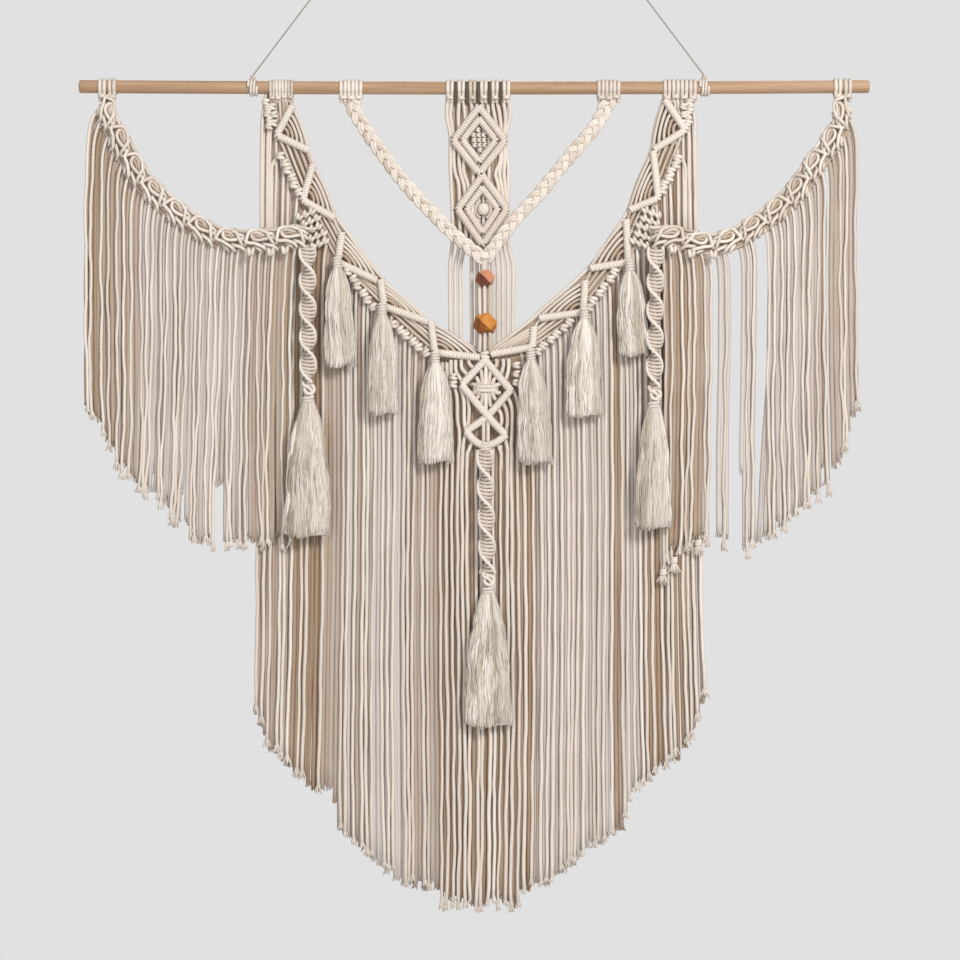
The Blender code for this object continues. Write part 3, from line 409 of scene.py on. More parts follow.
# Small knots beside the diamond and at its top: x, drop, size
DROP_KNOTS = (
    (7.4, 309.0, 5.4), (-29.0, 334, 4.4), (-29.4, 343, 4.8), (44.2, 321, 4.4), (44.8, 331, 4.8),
    (44.4, 341, 4.8),
)
# The panel's ends, from its first strand's x to its last one's
PANEL_END = (-44.0, 46.0)
PANEL_END_DROP = 948.0
# Where the panel's strands leave the knots, at PANEL_ROOT
PANEL_STRANDS = (-43, -36.5, -30, -23.5, -18.5, -13, -2, 3.5, 12, 17, 26, 33.5, 38.5, 45.5)
PANEL_ROOT = 428.0

# Swag braids: x, depth, drop
SWAG_LINES = {
    "left": (
        (-147, -1, 9.4), (-146.5, -2, 17), (-140, -4, 33), (-121, -7, 63), (-87, -10, 109),
        (-54, -13, 145), (-27, -14, 172), (6, -14, 199),
    ),
    "right": (
        (150, -1, 9.4), (149.5, -2, 17), (134, -7, 46), (101, -10, 85), (72, -12, 121), (39, -14, 157),
        (8, -14, 199),
    ),
}
BRAID_PERIOD, BRAID_SWING, BRAID_LIFT = 40.0, 4.6, 2.2
# Each strand of a braid is two cords, this far from its middle
BRAID_CORD, BRAID_APART = 2.25, 1.6
# The cords through and round the beads: x, depth, drop, how far they lie from their middle
BEAD_CORDS = (
    (7, -14, 194, 2.0), (7.5, -12, 207, 1.9), (7.5, -12, 220, 2.0), (7.6, -12, 226, 6.2),
    (7.7, -12, 232, 7.1), (8, -12, 246, 7.3), (8, -12, 258, 7.0), (8, -12, 264, 6.2), (8, -12, 269, 2.0),
    (8, -12, 278, 2.0), (8, -12, 283, 5.8), (8, -11, 290, 6.8), (8, -9, 298, 7.0), (8, -6, 305, 7.2),
)
BEAD_CORD_COUNT = 6
BEAD_EDGE = 0.5

# A spiral's first angle, how far down one half knot reaches, how long the flat face stays in front and how
# high the knot at the foot is
SPIRAL_START, SPIRAL_PITCH, SPIRAL_DWELL, SPIRAL_KNOT = -0.7, 4.3, 0.16, 20.0
# How far the knotting cord reaches sideways and forwards, and the edge cords, and each one's thickness
SPIRAL_WIDE, SPIRAL_THIN, SPIRAL_CORD = 8.2, 2.0, 1.95
SPIRAL_EDGE_WIDE, SPIRAL_EDGE_DEEP, SPIRAL_EDGE_CORD = 8.7, 8.4, 1.9
SPIRAL_CORE = 2.8
# Spiral sennits: x, depth, drop, end x, end drop, half turns
SPIRALS = {
    "left": (-197, -18, 183.5, -196, 361, 4.85),
    "center": (7, -12.6, 420, 11, 581, 4.1),
    "right": (204, -18, 185.5, 202, 367, 4.95),
}

# Tassels: x, depth, drop, end x, end drop, half width
TASSELS = {
    "tassel_left_1": (-163, -14.2, 196, -159, 325, 18),
    "tassel_left_2": (-111, -15.0, 249, -111, 380, 17),
    "tassel_left_3": (-50, -13.9, 305, -50, 436, 21),
    "tassel_right_1": (174, -12.4, 199, 179, 312, 18),
    "tassel_right_2": (122, -13.9, 255, 121, 383, 21),
    "tassel_right_3": (60, -15.1, 302, 66, 437, 20),
    "tassel_spiral_left": (-196, -18, 361, -197, 521, 26),
    "tassel_spiral_center": (11, -12.6, 581, 11, 740, 26),
    "tassel_spiral_right": (202, -18, 367, 200, 512, 20),
}
TASSEL_LOCKS, TASSEL_STRANDS_PER_MM, TASSEL_STRAND_ROWS = 15, 9.5, 22
TASSEL_TONE, NECK_TONE = 0.5, 0.62
# What a large tassel below a spiral and a small one differ in: half width at the neck, how far the skirt
# is over the listed half width, how quickly it opens, how far below the top it opens and the combed
# strands begin, the neck's middle line (run sideways at the tassel's lean, drop), how far its wrapping
# winds sideways and forwards and its pitch, the wrapping's thickness, and how uneven the strands' tones are
Tassel = namedtuple("Tassel", "neck full steep skirt start line coil cord uneven")
LARGE_TASSEL = Tassel(6.0, 1.1, 3.4, 0, 0, ((0, -3), (0, 0), (0, 3)), (5.8, 4.4, 3.6), 1.9, 1.2)
SMALL_TASSEL = Tassel(3.6, 1.0, 7.0, 13, 4, ((0, 1), (6, 7), (12, 13)), (4.1, 3.9, 3.3), 1.75, 1.0)


# ---------------------------------------------------------------- lines and tubes


def rows_of(x, depth, drop):
    """Rows of x, depth and drop, each of which is a number or a row of numbers."""
    return np.column_stack(np.broadcast_arrays(x, depth, drop))


def world(points):
    """Metres in the part's frame from rows of x, depth and drop."""
    rows = np.array(points, dtype=float)
    rows[..., 2] = NAIL_DROP - rows[..., 2]
    return rows * MM


def unit(vectors):
    """The vectors at a length of one."""
    return vectors / np.maximum(np.linalg.norm(vectors, axis=-1, keepdims=True), 1e-9)


def smooth(points, count):
    """Evenly spaced points on a smooth curve through a few points."""
    rows = np.array(points, dtype=float)
    padded = np.vstack([2 * rows[0] - rows[1], rows, 2 * rows[-1] - rows[-2]])
    steps = np.linspace(0, 1, 12, endpoint=False)[:, None]
    pieces = []
    for a, b, c, d in zip(padded, padded[1:], padded[2:], padded[3:]):
        bend = 2 * b + (c - a) * steps + (2 * a - 5 * b + 4 * c - d) * steps**2
        pieces.append(0.5 * (bend + (3 * b - a - 3 * c + d) * steps**3))
    fine = np.vstack(pieces + [rows[-1:]])
    walked = np.concatenate([[0], np.cumsum(np.linalg.norm(np.diff(fine, axis=0), axis=1))])
    wanted = np.linspace(0, walked[-1], count)
    return np.column_stack([np.interp(wanted, walked, column) for column in fine.T])


class Line:
    """A smooth line, on which points are placed by distance along, sideways and forwards."""

    def __init__(self, points, count=LINE_ROWS):
        self.rows = smooth(points, count)
        self.length = float(np.linalg.norm(np.diff(self.rows, axis=0), axis=1).sum())
        self.walked = np.linspace(0, self.length, count)
        self.heading = unit(np.gradient(self.rows, axis=0))
        self.side = unit(np.column_stack([self.heading[:, 2], np.zeros(count), -self.heading[:, 0]]))
        forward = np.array([0.0, -1.0, 0.0])
        self.front = unit(forward - self.heading * (self.heading @ forward)[:, None])

    def at(self, rows, along):
        """What the rows are at some distances along the line."""
        return np.stack([np.interp(along, self.walked, column) for column in rows.T], axis=-1)

    def place(self, along, side, front):
        """Points along the line; past its ends they carry on straight."""
        along, side, front = np.broadcast_arrays(along, side, front)
        inside = np.clip(along, 0, self.length)
        base = self.at(self.rows, inside) + self.at(self.heading, inside) * (along - inside)[..., None]
        base = base + self.at(self.side, inside) * side[..., None]
        return base + self.at(self.front, inside) * front[..., None]

    def coil(self, start, end, side_radius, front_radius, pitch, per_turn=12):
        """A cord wound round the line between two distances along it."""
        turns = abs(end - start) / pitch
        share = np.linspace(0, 1, max(8, int(round(turns * per_turn)) + 1))
        angle = TAU * turns * share
        along = start + (end - start) * share
        return self.place(along, side_radius * np.cos(angle), front_radius * np.sin(angle))


class Bundle:
    """Cords gathered into one mesh."""

    def __init__(self, seed):
        self.chance = np.random.default_rng(seed)
        self.points, self.tones = [], []
        self.quads, self.quad_uvs = [], []
        self.caps, self.cap_uvs = [], []
        self.count = 0

    def add(self, paths, radius, sides=7, tone=None, tip=0.5):
        """Cords along paths of one length. The radius is one number, or one a path, or one a point."""
        rows = world(paths)
        if rows.ndim == 2:
            rows = rows[None]
        many, length = rows.shape[:2]
        radii = np.broadcast_to(radius, (many, length)) * MM
        if tone is None:
            tone = KNOT_TONE + TONE_SPREAD * self.chance.standard_normal(many)

        heading = unit(np.gradient(rows, axis=1))
        normal = np.empty_like(rows)
        upright = np.abs(heading[:, 0, 1:2]) < 0.8
        current = np.where(upright, [[0.0, 1.0, 0.0]], [[1.0, 0.0, 0.0]])
        for i in range(length):
            ahead = heading[:, i]
            current = unit(current - ahead * (current * ahead).sum(-1, keepdims=True))
            normal[:, i] = current
        across = np.cross(heading, normal)
        angle = TAU * np.arange(sides)[:, None] / sides
        ring = normal[:, :, None] * np.cos(angle) + across[:, :, None] * np.sin(angle)
        skin = (rows[:, :, None] + ring * radii[:, :, None, None]).reshape(many, -1, 3)
        ends = rows[:, [0, -1]] + heading[:, [0, -1]] * radii[:, [0, -1], None] * [[-tip], [tip]]
        per_cord = length * sides + 2
        self.points.append(np.concatenate([skin, ends], axis=1).reshape(-1, 3))
        self.tones.append(np.repeat(np.broadcast_to(tone, (many,)), per_cord))

        centimetres = np.cumsum(np.linalg.norm(np.diff(rows, axis=1), axis=-1), axis=1) / (10 * MM)
        walked = np.pad(centimetres, ((0, 0), (1, 0))) + self.chance.uniform(0, 5, (many, 1))
        base = self.count + np.arange(many)[:, None, None] * per_cord
        self.count += many * per_cord
        self.add_sides(base, walked, sides)
        self.add_caps(base, walked, sides)

    def add_sides(self, base, walked, sides):
        """The faces round cords whose points start at base and lie so far along; u runs round, v along."""
        i, k = np.meshgrid(np.arange(walked.shape[1] - 1), np.arange(sides), indexing="ij")
        near, far, after = i * sides, (i + 1) * sides, (k + 1) % sides
        corners = np.stack([near + k, near + after, far + after, far + k], axis=-1)
        self.quads.append((base[..., None] + corners).reshape(-1, 4))
        left = np.broadcast_to(k / sides, (len(walked), *k.shape))
        right = left + 1 / sides
        low = np.broadcast_to(walked[:, :-1, None], left.shape)
        high = np.broadcast_to(walked[:, 1:, None], left.shape)
        uv = np.stack([left, low, right, low, right, high, left, high], axis=-1)
        self.quad_uvs.append(uv.reshape(-1, 8))

    def add_caps(self, base, walked, sides):
        """The faces that close the cords' ends, from each end's tip to its last ring."""
        many, length = walked.shape
        around = np.arange(sides)
        after = (around + 1) % sides
        first_tip, last = length * sides, (length - 1) * sides
        first_cap = np.stack([np.full(sides, first_tip), after, around], axis=-1)
        last_cap = np.stack([np.full(sides, first_tip + 1), last + around, last + after], axis=-1)
        self.caps.append((base + np.concatenate([first_cap, last_cap])).reshape(-1, 3))
        u = around / sides
        flat = np.stack([u, u * 0, u + 1 / sides, u * 0, u, u * 0], axis=-1)
        uv = np.tile(flat, (many, 2, 1))
        uv[..., 1::2] = np.repeat(walked[:, [0, -1]], sides, axis=1)[..., None]
        self.cap_uvs.append(uv.reshape(-1, 6))

    def cord(self, points, count, radius, tone=None):
        """One cord on a smooth curve through a few points."""
        self.add(smooth(points, count), radius, tone=tone)

    def flat_body(self, path, half_widths, half_depths, tone):
        """A soft upright body, wider than it is deep."""
        self.add(path, half_widths, BODY_SIDES, tone, tip=0.1)
        squash = np.append(np.repeat(half_depths / half_widths, BODY_SIDES), [1.0, 1.0])
        middle = np.append(np.repeat(path[:, 1], BODY_SIDES), path[[0, -1], 1]) * MM
        points = self.points[-1]
        points[:, 1] = middle + (points[:, 1] - middle) * squash

    def make(self, name, finish, slot, *nodes):
        """The mesh object, riding on the hanging."""
        points = np.concatenate(self.points)
        quads, caps = np.concatenate(self.quads), np.concatenate(self.caps)
        mesh = bpy.data.meshes.new(name)
        mesh.vertices.add(len(points))
        mesh.vertices.foreach_set("co", points.astype(np.float32).ravel())
        mesh.loops.add(quads.size + caps.size)
        corners = np.concatenate([quads.ravel(), caps.ravel()])
        mesh.loops.foreach_set("vertex_index", corners.astype(np.int32))
        mesh.polygons.add(len(quads) + len(caps))
        starts = np.concatenate([np.arange(len(quads)) * 4, quads.size + np.arange(len(caps)) * 3])
        mesh.polygons.foreach_set("loop_start", starts.astype(np.int32))
        mesh.update(calc_edges=True)
        mesh.polygons.foreach_set("use_smooth", np.ones(len(mesh.polygons), dtype=bool))
        uvs = np.concatenate([np.ravel(block) for block in self.quad_uvs + self.cap_uvs])
        mesh.uv_layers.new(name="strand").data.foreach_set("uv", uvs.astype(np.float32))
        tone = mesh.attributes.new("tone", "FLOAT", "POINT")
        tone.data.foreach_set("value", np.concatenate(self.tones).astype(np.float32))
        mesh.validate()
        mesh.materials.append(finish)
        return settle(bpy.data.objects.new(name, mesh), slot, *nodes)


def settle(piece, slot, *nodes):
    """Puts a piece in the scene, on the hanging's one body, in place of its solids."""
    bpy.context.scene.collection.objects.link(piece)
    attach(piece, "root")
    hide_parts(*nodes)
    return piece


# ---------------------------------------------------------------- materials


class Nodes:
    """A material's nodes, wired by short calls."""

    def __init__(self, name):
        self.material = bpy.data.materials.new(name)
        self.material.use_nodes = True
        self.tree = self.material.node_tree
        self.shader = self.tree.nodes["Principled BSDF"]

    def node(self, kind, **values):
        """A new node with some of its settings."""
        made = self.tree.nodes.new("ShaderNode" + kind)
        for key, value in values.items():
            setattr(made, key, value)
        return made

    def plug(self, target, value):
        """Links an input to a socket, or gives it a value."""
        if isinstance(value, bpy.types.NodeSocket):
            self.tree.links.new(value, target)
        else:
            target.default_value = value

    def feed(self, node, **inputs):
        """Plugs each named input of a node; an underscore stands for a space."""
        for key, value in inputs.items():
            self.plug(node.inputs[key.replace("_", " ")], value)
        return node

    def math(self, operation, *values):
        """One sum on values and sockets."""
        made = self.node("Math", operation=operation)
        for target, value in zip(made.inputs, values):
            self.plug(target, value)
        return made.outputs[0]

    def weighted(self, *terms):
        """The sum of sockets, each with its weight."""
        total = None
        for value, weight in terms:
            part = value if weight == 1 else self.math("MULTIPLY", value, weight)
            total = part if total is None else self.math("ADD", total, part)
        return total

    def noise(self, vector, scale, detail=2.0, roughness=0.5, stretch=None):
        """Noise over a space, which can first be stretched."""
        if stretch:
            vector = self.feed(self.node("Mapping"), Vector=vector, Scale=stretch).outputs["Vector"]
        made = self.feed(self.node("TexNoise"), Vector=vector, Scale=scale)
        return self.feed(made, Detail=detail, Roughness=roughness).outputs["Fac"]

    def ramp(self, factor, *stops):
        """A colour that runs from stop to stop."""
        made = self.feed(self.node("ValToRGB"), Fac=factor)
        elements = made.color_ramp.elements
        while len(elements) < len(stops):
            elements.new(0.5)
        for element, (place, colour) in zip(elements, stops):
            element.position = place
            element.color = (*colour, 1.0)
        return made.outputs["Color"]

    def blend(self, factor, first, second):
        """One colour turning into another."""
        made = self.node("Mix", data_type="RGBA")
        for place, value in ((0, factor), (6, first), (7, second)):
            self.plug(made.inputs[place], (*value, 1.0) if isinstance(value, tuple) else value)
        return made.outputs[2]

    def bump(self, height, distance, strength):
        """Relief, its distance in metres."""
        made = self.feed(self.node("Bump"), Height=height, Distance=distance, Strength=strength)
        self.feed(self.shader, Normal=made.outputs["Normal"])

    def finish(self, colour, roughness, sheen=0.0):
        """The finished material, of a dull surface."""
        self.feed(self.shader, Base_Color=colour, Roughness=roughness, Sheen_Weight=sheen)
        self.feed(self.shader, Specular_IOR_Level=0.2)
        return self.material

    def strand(self):
        """How far round its cord a point lies, and how many centimetres along."""
        return self.node("UVMap", uv_map="strand").outputs["UV"]

    def tone(self):
        """How pale the cord is."""
        return self.node("Attribute", attribute_name="tone").outputs["Fac"]

    def space(self):
        """The place on the object."""
        return self.node("TexCoord").outputs["Object"]

    def split(self, vector):
        """The three parts of a vector."""
        return self.feed(self.node("SeparateXYZ"), Vector=vector).outputs

    def facing(self):
        """Which way the object's surface faces: to the right, to the wall and up."""
        return self.split(self.node("TexCoord").outputs["Normal"])


def painted_edge_shade(nodes, colour, dark, weight=0.42):
    """Painted shade: a cord's sides, which face its neighbours, are darker than its front and back."""
    sideways = nodes.math("SUBTRACT", 1.0, nodes.math("ABSOLUTE", nodes.facing()[1]))
    turned = nodes.math("MULTIPLY", nodes.math("POWER", sideways, 1.7), weight)
    return nodes.blend(turned, colour, tuple(0.6 * c for c in dark))


def twisted_cotton(name, light, dark, plies=CORD_PLIES, lay=CORD_LAY, groove=CORD_GROOVE):
    """Cotton cord of a few plies, whose grooves wind round it once every lay centimetres."""
    nodes = Nodes(name)
    uv, place, tone = nodes.strand(), nodes.space(), nodes.tone()
    around, along, _ = nodes.split(uv)
    turn = nodes.weighted((around, plies), (along, -plies / lay))
    crest = nodes.math("ABSOLUTE", nodes.math("SINE", nodes.math("MULTIPLY", turn, math.pi)))
    fibre = nodes.noise(uv, 1.0, 3.0, 0.65, (14.0, 5.0, 1.0))
    fuzz = nodes.noise(place, 1500.0, 2.0, 0.6)
    patch = nodes.noise(place, 22.0)
    # The grooves between plies are painted a little darker as shade, and a low tone paints the shade of
    # other cords
    lightness = nodes.weighted((crest, 0.08), (fibre, 0.30), (tone, 0.70), (patch, 0.18))
    # The deepest stop colours the strips of painted shadow on the rod
    deep = tuple(0.3 * c for c in dark)
    colour = nodes.ramp(lightness, (0.02, deep), (0.20, dark), (0.30, dark), (0.85, light))
    # The painted shade that a low tone gives is lifted on the side that faces the wall, which is as pale as
    # any front cord's
    back = nodes.feed(nodes.node("MapRange"), Value=nodes.facing()[1], From_Min=0.15, From_Max=0.6)
    off_front = nodes.math("SUBTRACT", tone, FRONT_TONE)
    pale = nodes.math("SUBTRACT", lightness, nodes.math("MULTIPLY", off_front, 0.70))
    pale_colour = nodes.ramp(pale, (0.30, COTTON_DARK), (0.85, COTTON_LIGHT))
    colour = nodes.blend(back.outputs["Result"], colour, pale_colour)
    nodes.bump(nodes.weighted((crest, 1), (fibre, 0.35), (fuzz, 0.2)), groove, 0.7)
    # Painted shade darkens each cord's sides
    return nodes.finish(painted_edge_shade(nodes, colour, dark), 0.9, 0.03)


def combed_cotton(name, light, dark):
    """Cotton combed out to fine fibres."""
    nodes = Nodes(name)
    fibre = nodes.noise(nodes.strand(), 1.0, 3.0, 0.6, (7.0, 1.2, 1.0))
    lightness = nodes.weighted((fibre, 0.45), (nodes.tone(), 0.6))
    # Painted shade darkens the strands' sides
    colour = painted_edge_shade(nodes, nodes.ramp(lightness, (0.2, dark), (0.8, light)), dark, 0.5)
    nodes.bump(fibre, 0.0002, 0.5)
    return nodes.finish(colour, 0.92, 0.05)


def wood(name, light, dark, grain, bands, roughness, painted_light=0.0):
    """Wood with fine streaks and broad bands; its upper and right faces may be painted lighter, as painted
    light.
    """
    nodes = Nodes(name)
    place = nodes.space()
    streak = nodes.noise(place, 1.0, 4.0, 0.6, grain)
    fine = nodes.noise(place, 1.0, 3.0, 0.7, tuple(4 * g for g in grain))
    broad = nodes.noise(place, 1.0, 1.0, stretch=bands)
    shades = [(streak, 0.5), (fine, 0.25), (broad, 0.3)]
    if painted_light:
        right, _, up = nodes.facing()
        shades.append((nodes.weighted((up, 1), (right, 0.5)), painted_light))
    colour = nodes.ramp(nodes.weighted(*shades), (0.35, dark), (0.72, light))
    nodes.bump(nodes.math("ADD", streak, fine), 0.0003, 0.35)
    return nodes.finish(colour, nodes.math("ADD", nodes.math("MULTIPLY", fine, 0.2), roughness - 0.1))


# ---------------------------------------------------------------- rod, heads, hanger


def rod_drop(x):
    """The drop of the rod's axis at x: the rod bows down a little in its middle."""
    share = (x - ROD_LEFT) / (ROD_RIGHT - ROD_LEFT)
    return ROD_BOW * (4 * share * (1 - share) - 1)


def rod(finish):
    """The wooden rod, a little bowed, with its ends rounded over."""
    bundle = Bundle(SEED)
    turn = np.linspace(0, math.pi / 2, 5)
    inset = ROD_ROUNDING * (1 - np.sin(turn))
    rims = ROD_RADIUS - ROD_ROUNDING * (1 - np.cos(turn))
    middle = np.linspace(ROD_LEFT + 8, ROD_RIGHT - 8, 60)
    xs = np.concatenate([ROD_LEFT + inset[::-1], middle, ROD_RIGHT - inset])
    radii = np.concatenate([rims[::-1], np.full(60, ROD_RADIUS), rims])
    bundle.add(rows_of(xs, 0.0, rod_drop(xs)), radii, sides=40, tip=0.04)
    return bundle.make("rod_wood", finish, "rod_wood", "rod")


def larks_heads(bundle, key):
    """Cords looped over the rod, each with its loop lying across its own two ends."""
    left, right, count = HEADS[key]
    pitch = (right - left) / count
    radius = min(CORD, pitch / 4 * 0.98)
    leg = min(pitch / 4, CORD + 0.1)
    reach = leg + 0.5
    angles = np.radians(np.linspace(-48, 232, 26))
    for i in range(count):
        x = left + pitch * (i + 0.5)
        drop = rod_drop(x)
        legs = []
        for side in (-1, 1):
            across = x + side * (leg + 0.4 * np.linspace(0, 1, 26))
            wrap = rows_of(across, -WRAP_RADIUS * np.cos(angles), drop - WRAP_RADIUS * np.sin(angles))
            tail = [(x + side * leg * 0.92, -1.5, drop + 17), (x + side * leg * 0.95, -3.4, drop + 12.5)]
            legs.append(np.vstack([tail, wrap]))
        level = drop + 12.0 + bundle.chance.uniform(-0.7, 0.7)
        bight = [
            legs[0][-1],
            (x - reach, -2.0, level),
            (x - reach + 0.8, -5.8, level + 0.4),
            (x, -7.9, level - 0.4),
            (x + reach - 0.8, -5.8, level + 0.4),
            (x + reach, -2.0, level),
            legs[1][-1],
        ]
        cord = np.vstack([legs[0], smooth(bight, 18)[1:-1], legs[1][::-1]])
        bundle.cord(cord, 90, radius)


def tie(side, x, cotton):
    """A few turns of cord on the rod and the small knot that holds a thread."""
    bundle = Bundle(SEED + 3)
    turns = np.linspace(0, TIE_TURNS * TAU, 64)
    across = x + TIE_WIDTH * (turns / turns[-1] - 0.5)
    wound = rows_of(across, -TIE_RADIUS * np.cos(turns), rod_drop(x) - TIE_RADIUS * np.sin(turns))
    bundle.add(wound, TIE_CORD)
    angle = np.linspace(0, TAU * 2, 30)
    knot_drop = TIE_KNOT_DROP + 1.5 * np.sin(angle * 0.5)
    bundle.add(rows_of(x + 2.4 * np.cos(angle), -1.6 * np.sin(angle), knot_drop), TIE_KNOT_CORD)
    bundle.make("tie_cords_" + side, cotton, "cotton_cord", "tie_" + side)


def thread_loop(side, start, along, finish):
    """The knot at a thread's top and the loop above it."""
    bundle = Bundle(SEED + 4)
    knot = Line([start, start + along * LOOP_KNOT_RADIUS, start + along * 2 * LOOP_KNOT_RADIUS], 20)
    bundle.add(knot.coil(0.5, knot.length - 0.5, 1.5, 1.5, 1.5, per_turn=10), LOOP_KNOT_CORD)
    x, _, drop = start + along * (2 * LOOP_KNOT_RADIUS + LOOP_RADIUS - 1.0)
    angle = np.linspace(0, TAU, 40)
    across, down = LOOP_RADIUS * np.sin(angle), -LOOP_RADIUS * np.cos(angle)
    bundle.add(rows_of(x + across, 0.25 * np.sin(angle * 2), drop + down), THREAD_DIAMETER / 2)
    return bundle.make("loop_thread_" + side, finish, "hanging_thread", "loop_" + side)


def hanger(cotton, thread_finish):
    """On each side of the rod the tie, the thread that rises from it and the thread's loop."""
    for side, sign in (("left", -1), ("right", 1)):
        tie(side, sign * TIE_X, cotton)
        foot = np.array((sign * TIE_X, 0, THREAD_FOOT_DROP))
        top_x = sign * (TIE_X + (THREAD_TOP_DROP - THREAD_FOOT_DROP) * THREAD_LEAN)
        top = np.array((top_x, 0, THREAD_TOP_DROP))
        along = np.array((-sign * THREAD_LEAN, 0, -1.0)) / math.hypot(1, THREAD_LEAN)
        loop = thread_loop(side, top + along * CLEARANCE, along, thread_finish)

        points = world(foot + (top - foot) * np.linspace(0, 1, 22)[:, None])
        curve = bpy.data.curves.new("thread_cord_" + side, "CURVE")
        curve.dimensions = "3D"
        curve.bevel_depth = THREAD_DIAMETER / 2 * MM
        curve.bevel_resolution = 3
        curve.use_fill_caps = True
        spline = curve.splines.new("POLY")
        spline.points.add(len(points) - 1)
        for point, place in zip(spline.points, points):
            point.co = (*place, 1)
        curve.materials.append(thread_finish)
        cord = bpy.data.objects.new("thread_cord_" + side, curve)
        settle(cord, "hanging_thread", "thread_" + side)


# ---------------------------------------------------------------- hanging strands


def wander(bundle, xs, drops, near, group):
    """How far hanging strands stray sideways at each drop; neighbours stray nearly alike."""
    many = len(xs)
    chance = bundle.chance
    stray = group * np.sin(drops / 95 + xs[:, None] * 0.021)
    for wave, size in ((58, 0.55), (27, 0.28), (13, 0.10)):
        phase = chance.uniform(0, TAU, (many, 1))
        scale = chance.uniform(0.8, 1.25, (many, 1))
        stray = stray + near * size * np.sin(drops / (wave / TAU * scale * 2.2) + phase)
    return stray


def hang(bundle, roots, ends, depth, tone, radius, rows, kick=0.0, kick_length=11.0, near=1.0, group=1.2,
         flare=1.0, fibres=7):
    """Strands from roots of x, depth, drop down to ends of x, drop, with frayed tips.

    They hang at a depth, which is one number or one a strand. A kick is how far to one side a strand's
    top bends over, to the knot that it comes from. Near is how far each strays by itself, and group is
    how far it strays with its neighbours.
    """
    many = len(roots)
    kick, depth = np.reshape(kick, (-1, 1)), np.reshape(depth, (-1, 1))
    start_x, start_depth, start_drop = roots[:, 0:1], roots[:, 1:2], roots[:, 2:3]
    share = np.linspace(0, 1, rows)[None] ** 1.25
    drops = start_drop + (ends[:, 1:2] - start_drop) * share
    fallen = drops - start_drop
    eased = 1 - np.exp(-fallen / 18.0)
    straight = start_x + (ends[:, 0:1] - start_x) * share**1.3
    bent = kick * np.exp(-fallen / kick_length)
    stray = wander(bundle, ends[:, 0], drops, near, group) * eased * (0.7 + 0.6 * share)
    sway = 0.5 * np.sin(drops / 41 + bundle.chance.uniform(0, TAU, (many, 1)))
    depths = start_depth + (depth - start_depth + sway) * eased
    paths = np.stack([straight + stray + bent, depths, drops], axis=-1)
    radii = radius * (1 + 0.07 * bundle.chance.standard_normal((many, 1)))
    tones = tone + 0.06 * bundle.chance.standard_normal(many)
    bundle.add(paths, radii, tone=tones)
    fray(bundle, paths[:, -1], radius, tones, flare, fibres)


def fray(bundle, tips, radius, tones, flare, fibres):
    """The brush of unlaid fibres at each strand's end."""
    many = len(tips)
    chance = bundle.chance
    x, depth, drop = (column[:, None, None] for column in tips.T)
    share = np.linspace(0, 1, 7)
    angle = np.arange(fibres)[None] * TAU / fibres + chance.uniform(0, TAU, (many, 1))
    flare = np.reshape(flare, (-1, 1, 1))
    reach = flare * chance.uniform(0.3, 2.4, (many, fibres, 1))
    long = (6.0 + 2.5 * flare) * chance.uniform(0.75, 1.15, (many, fibres, 1))
    curl = chance.uniform(0, TAU, (many, fibres, 1))
    spread = radius * 0.55 + reach * share**1.2
    bend = chance.uniform(-1.8, 1.8, (many, 1, 1)) * share**2
    paths = np.stack([
        x + np.cos(angle)[..., None] * spread + 0.4 * np.sin(curl + 5 * share) * share + bend,
        depth + np.sin(angle)[..., None] * spread * 0.6,
        drop - 2.5 + long * share,
    ], axis=-1).reshape(many * fibres, -1, 3)
    tones = np.repeat(np.broadcast_to(tones, (many,)), fibres) + 0.04
    bundle.add(paths, np.linspace(1.15, 0.75, 7), 4, tones)


def tuft(bundle, x, depth, drop):
    """A small knot near the end of a few strands, and the fan of fibres below it."""
    line = Line([(x, depth, drop - 6), (x, depth, drop - 3), (x, depth, drop)], 12)
    bundle.add(line.coil(0, line.length, 3.2, 2.6, 2.2), 1.4, tone=KNOT_TONE + 0.1)
    fray(bundle, np.array([(x, depth, drop), (x, depth, drop + 1)]), 2.4, KNOT_TONE, 2.6, 10)


def ragged(bundle, count, size):
    """How much shorter each strand of an uneven row is."""
    return bundle.chance.uniform(0, size, count)


def clumps(bundle, first, last, pitch):
    """Places of strands from one x to another, in clumps, and where each clump's tips gather."""
    chance = bundle.chance
    places, gathers = [], []
    x = first
    while x <= last:
        few = chance.integers(2, CLUMP_MOST + 1)
        clump = x + np.cumsum(pitch * chance.uniform(0.86, 1.14, few)) - pitch
        clump = clump[clump <= last]
        if len(clump) == 0:
            break
        places.extend(clump)
        middle = clump.mean() + chance.uniform(-2.0, 2.0)
        gathers.extend(middle + (clump - middle) * chance.uniform(CLUMP_CLOSEST, 1.0))
        x = clump[-1] + pitch + CLUMP_GAP * chance.uniform(0.2, 1.0)
    return np.array(places), np.array(gathers)


def bays(bundle, first, last, gaps, pitch):
    """Places of strands from one x to another, even but for the gaps, and where each few tips gather."""
    chance = bundle.chance
    edges = [first, *np.ravel(gaps), last]
    places, gathers = [], []
    for low, high in zip(edges[::2], edges[1::2]):
        count = 1 + round((high - low) / pitch)
        row = np.linspace(low, high, count)
        row[1:-1] += chance.uniform(-1.5, 1.5, max(0, count - 2))
        tips = row.copy()
        for i in range(0, count, 3):
            few = row[i:i + 3]
            tips[i:i + 3] = few.mean() + (few - few.mean()) * chance.uniform(0.6, 1.0)
        places.extend(row)
        gathers.extend(tips)
    return np.array(places), np.array(gathers)


def vee_outer_drop(x):
    """The lower, outer edge of the V at x."""
    rows = np.array(VEE_OUTER["left"] + VEE_OUTER["right"][::-1], dtype=float)
    order = np.argsort(rows[:, 0])
    return np.interp(x, rows[order, 0], rows[order, 1])


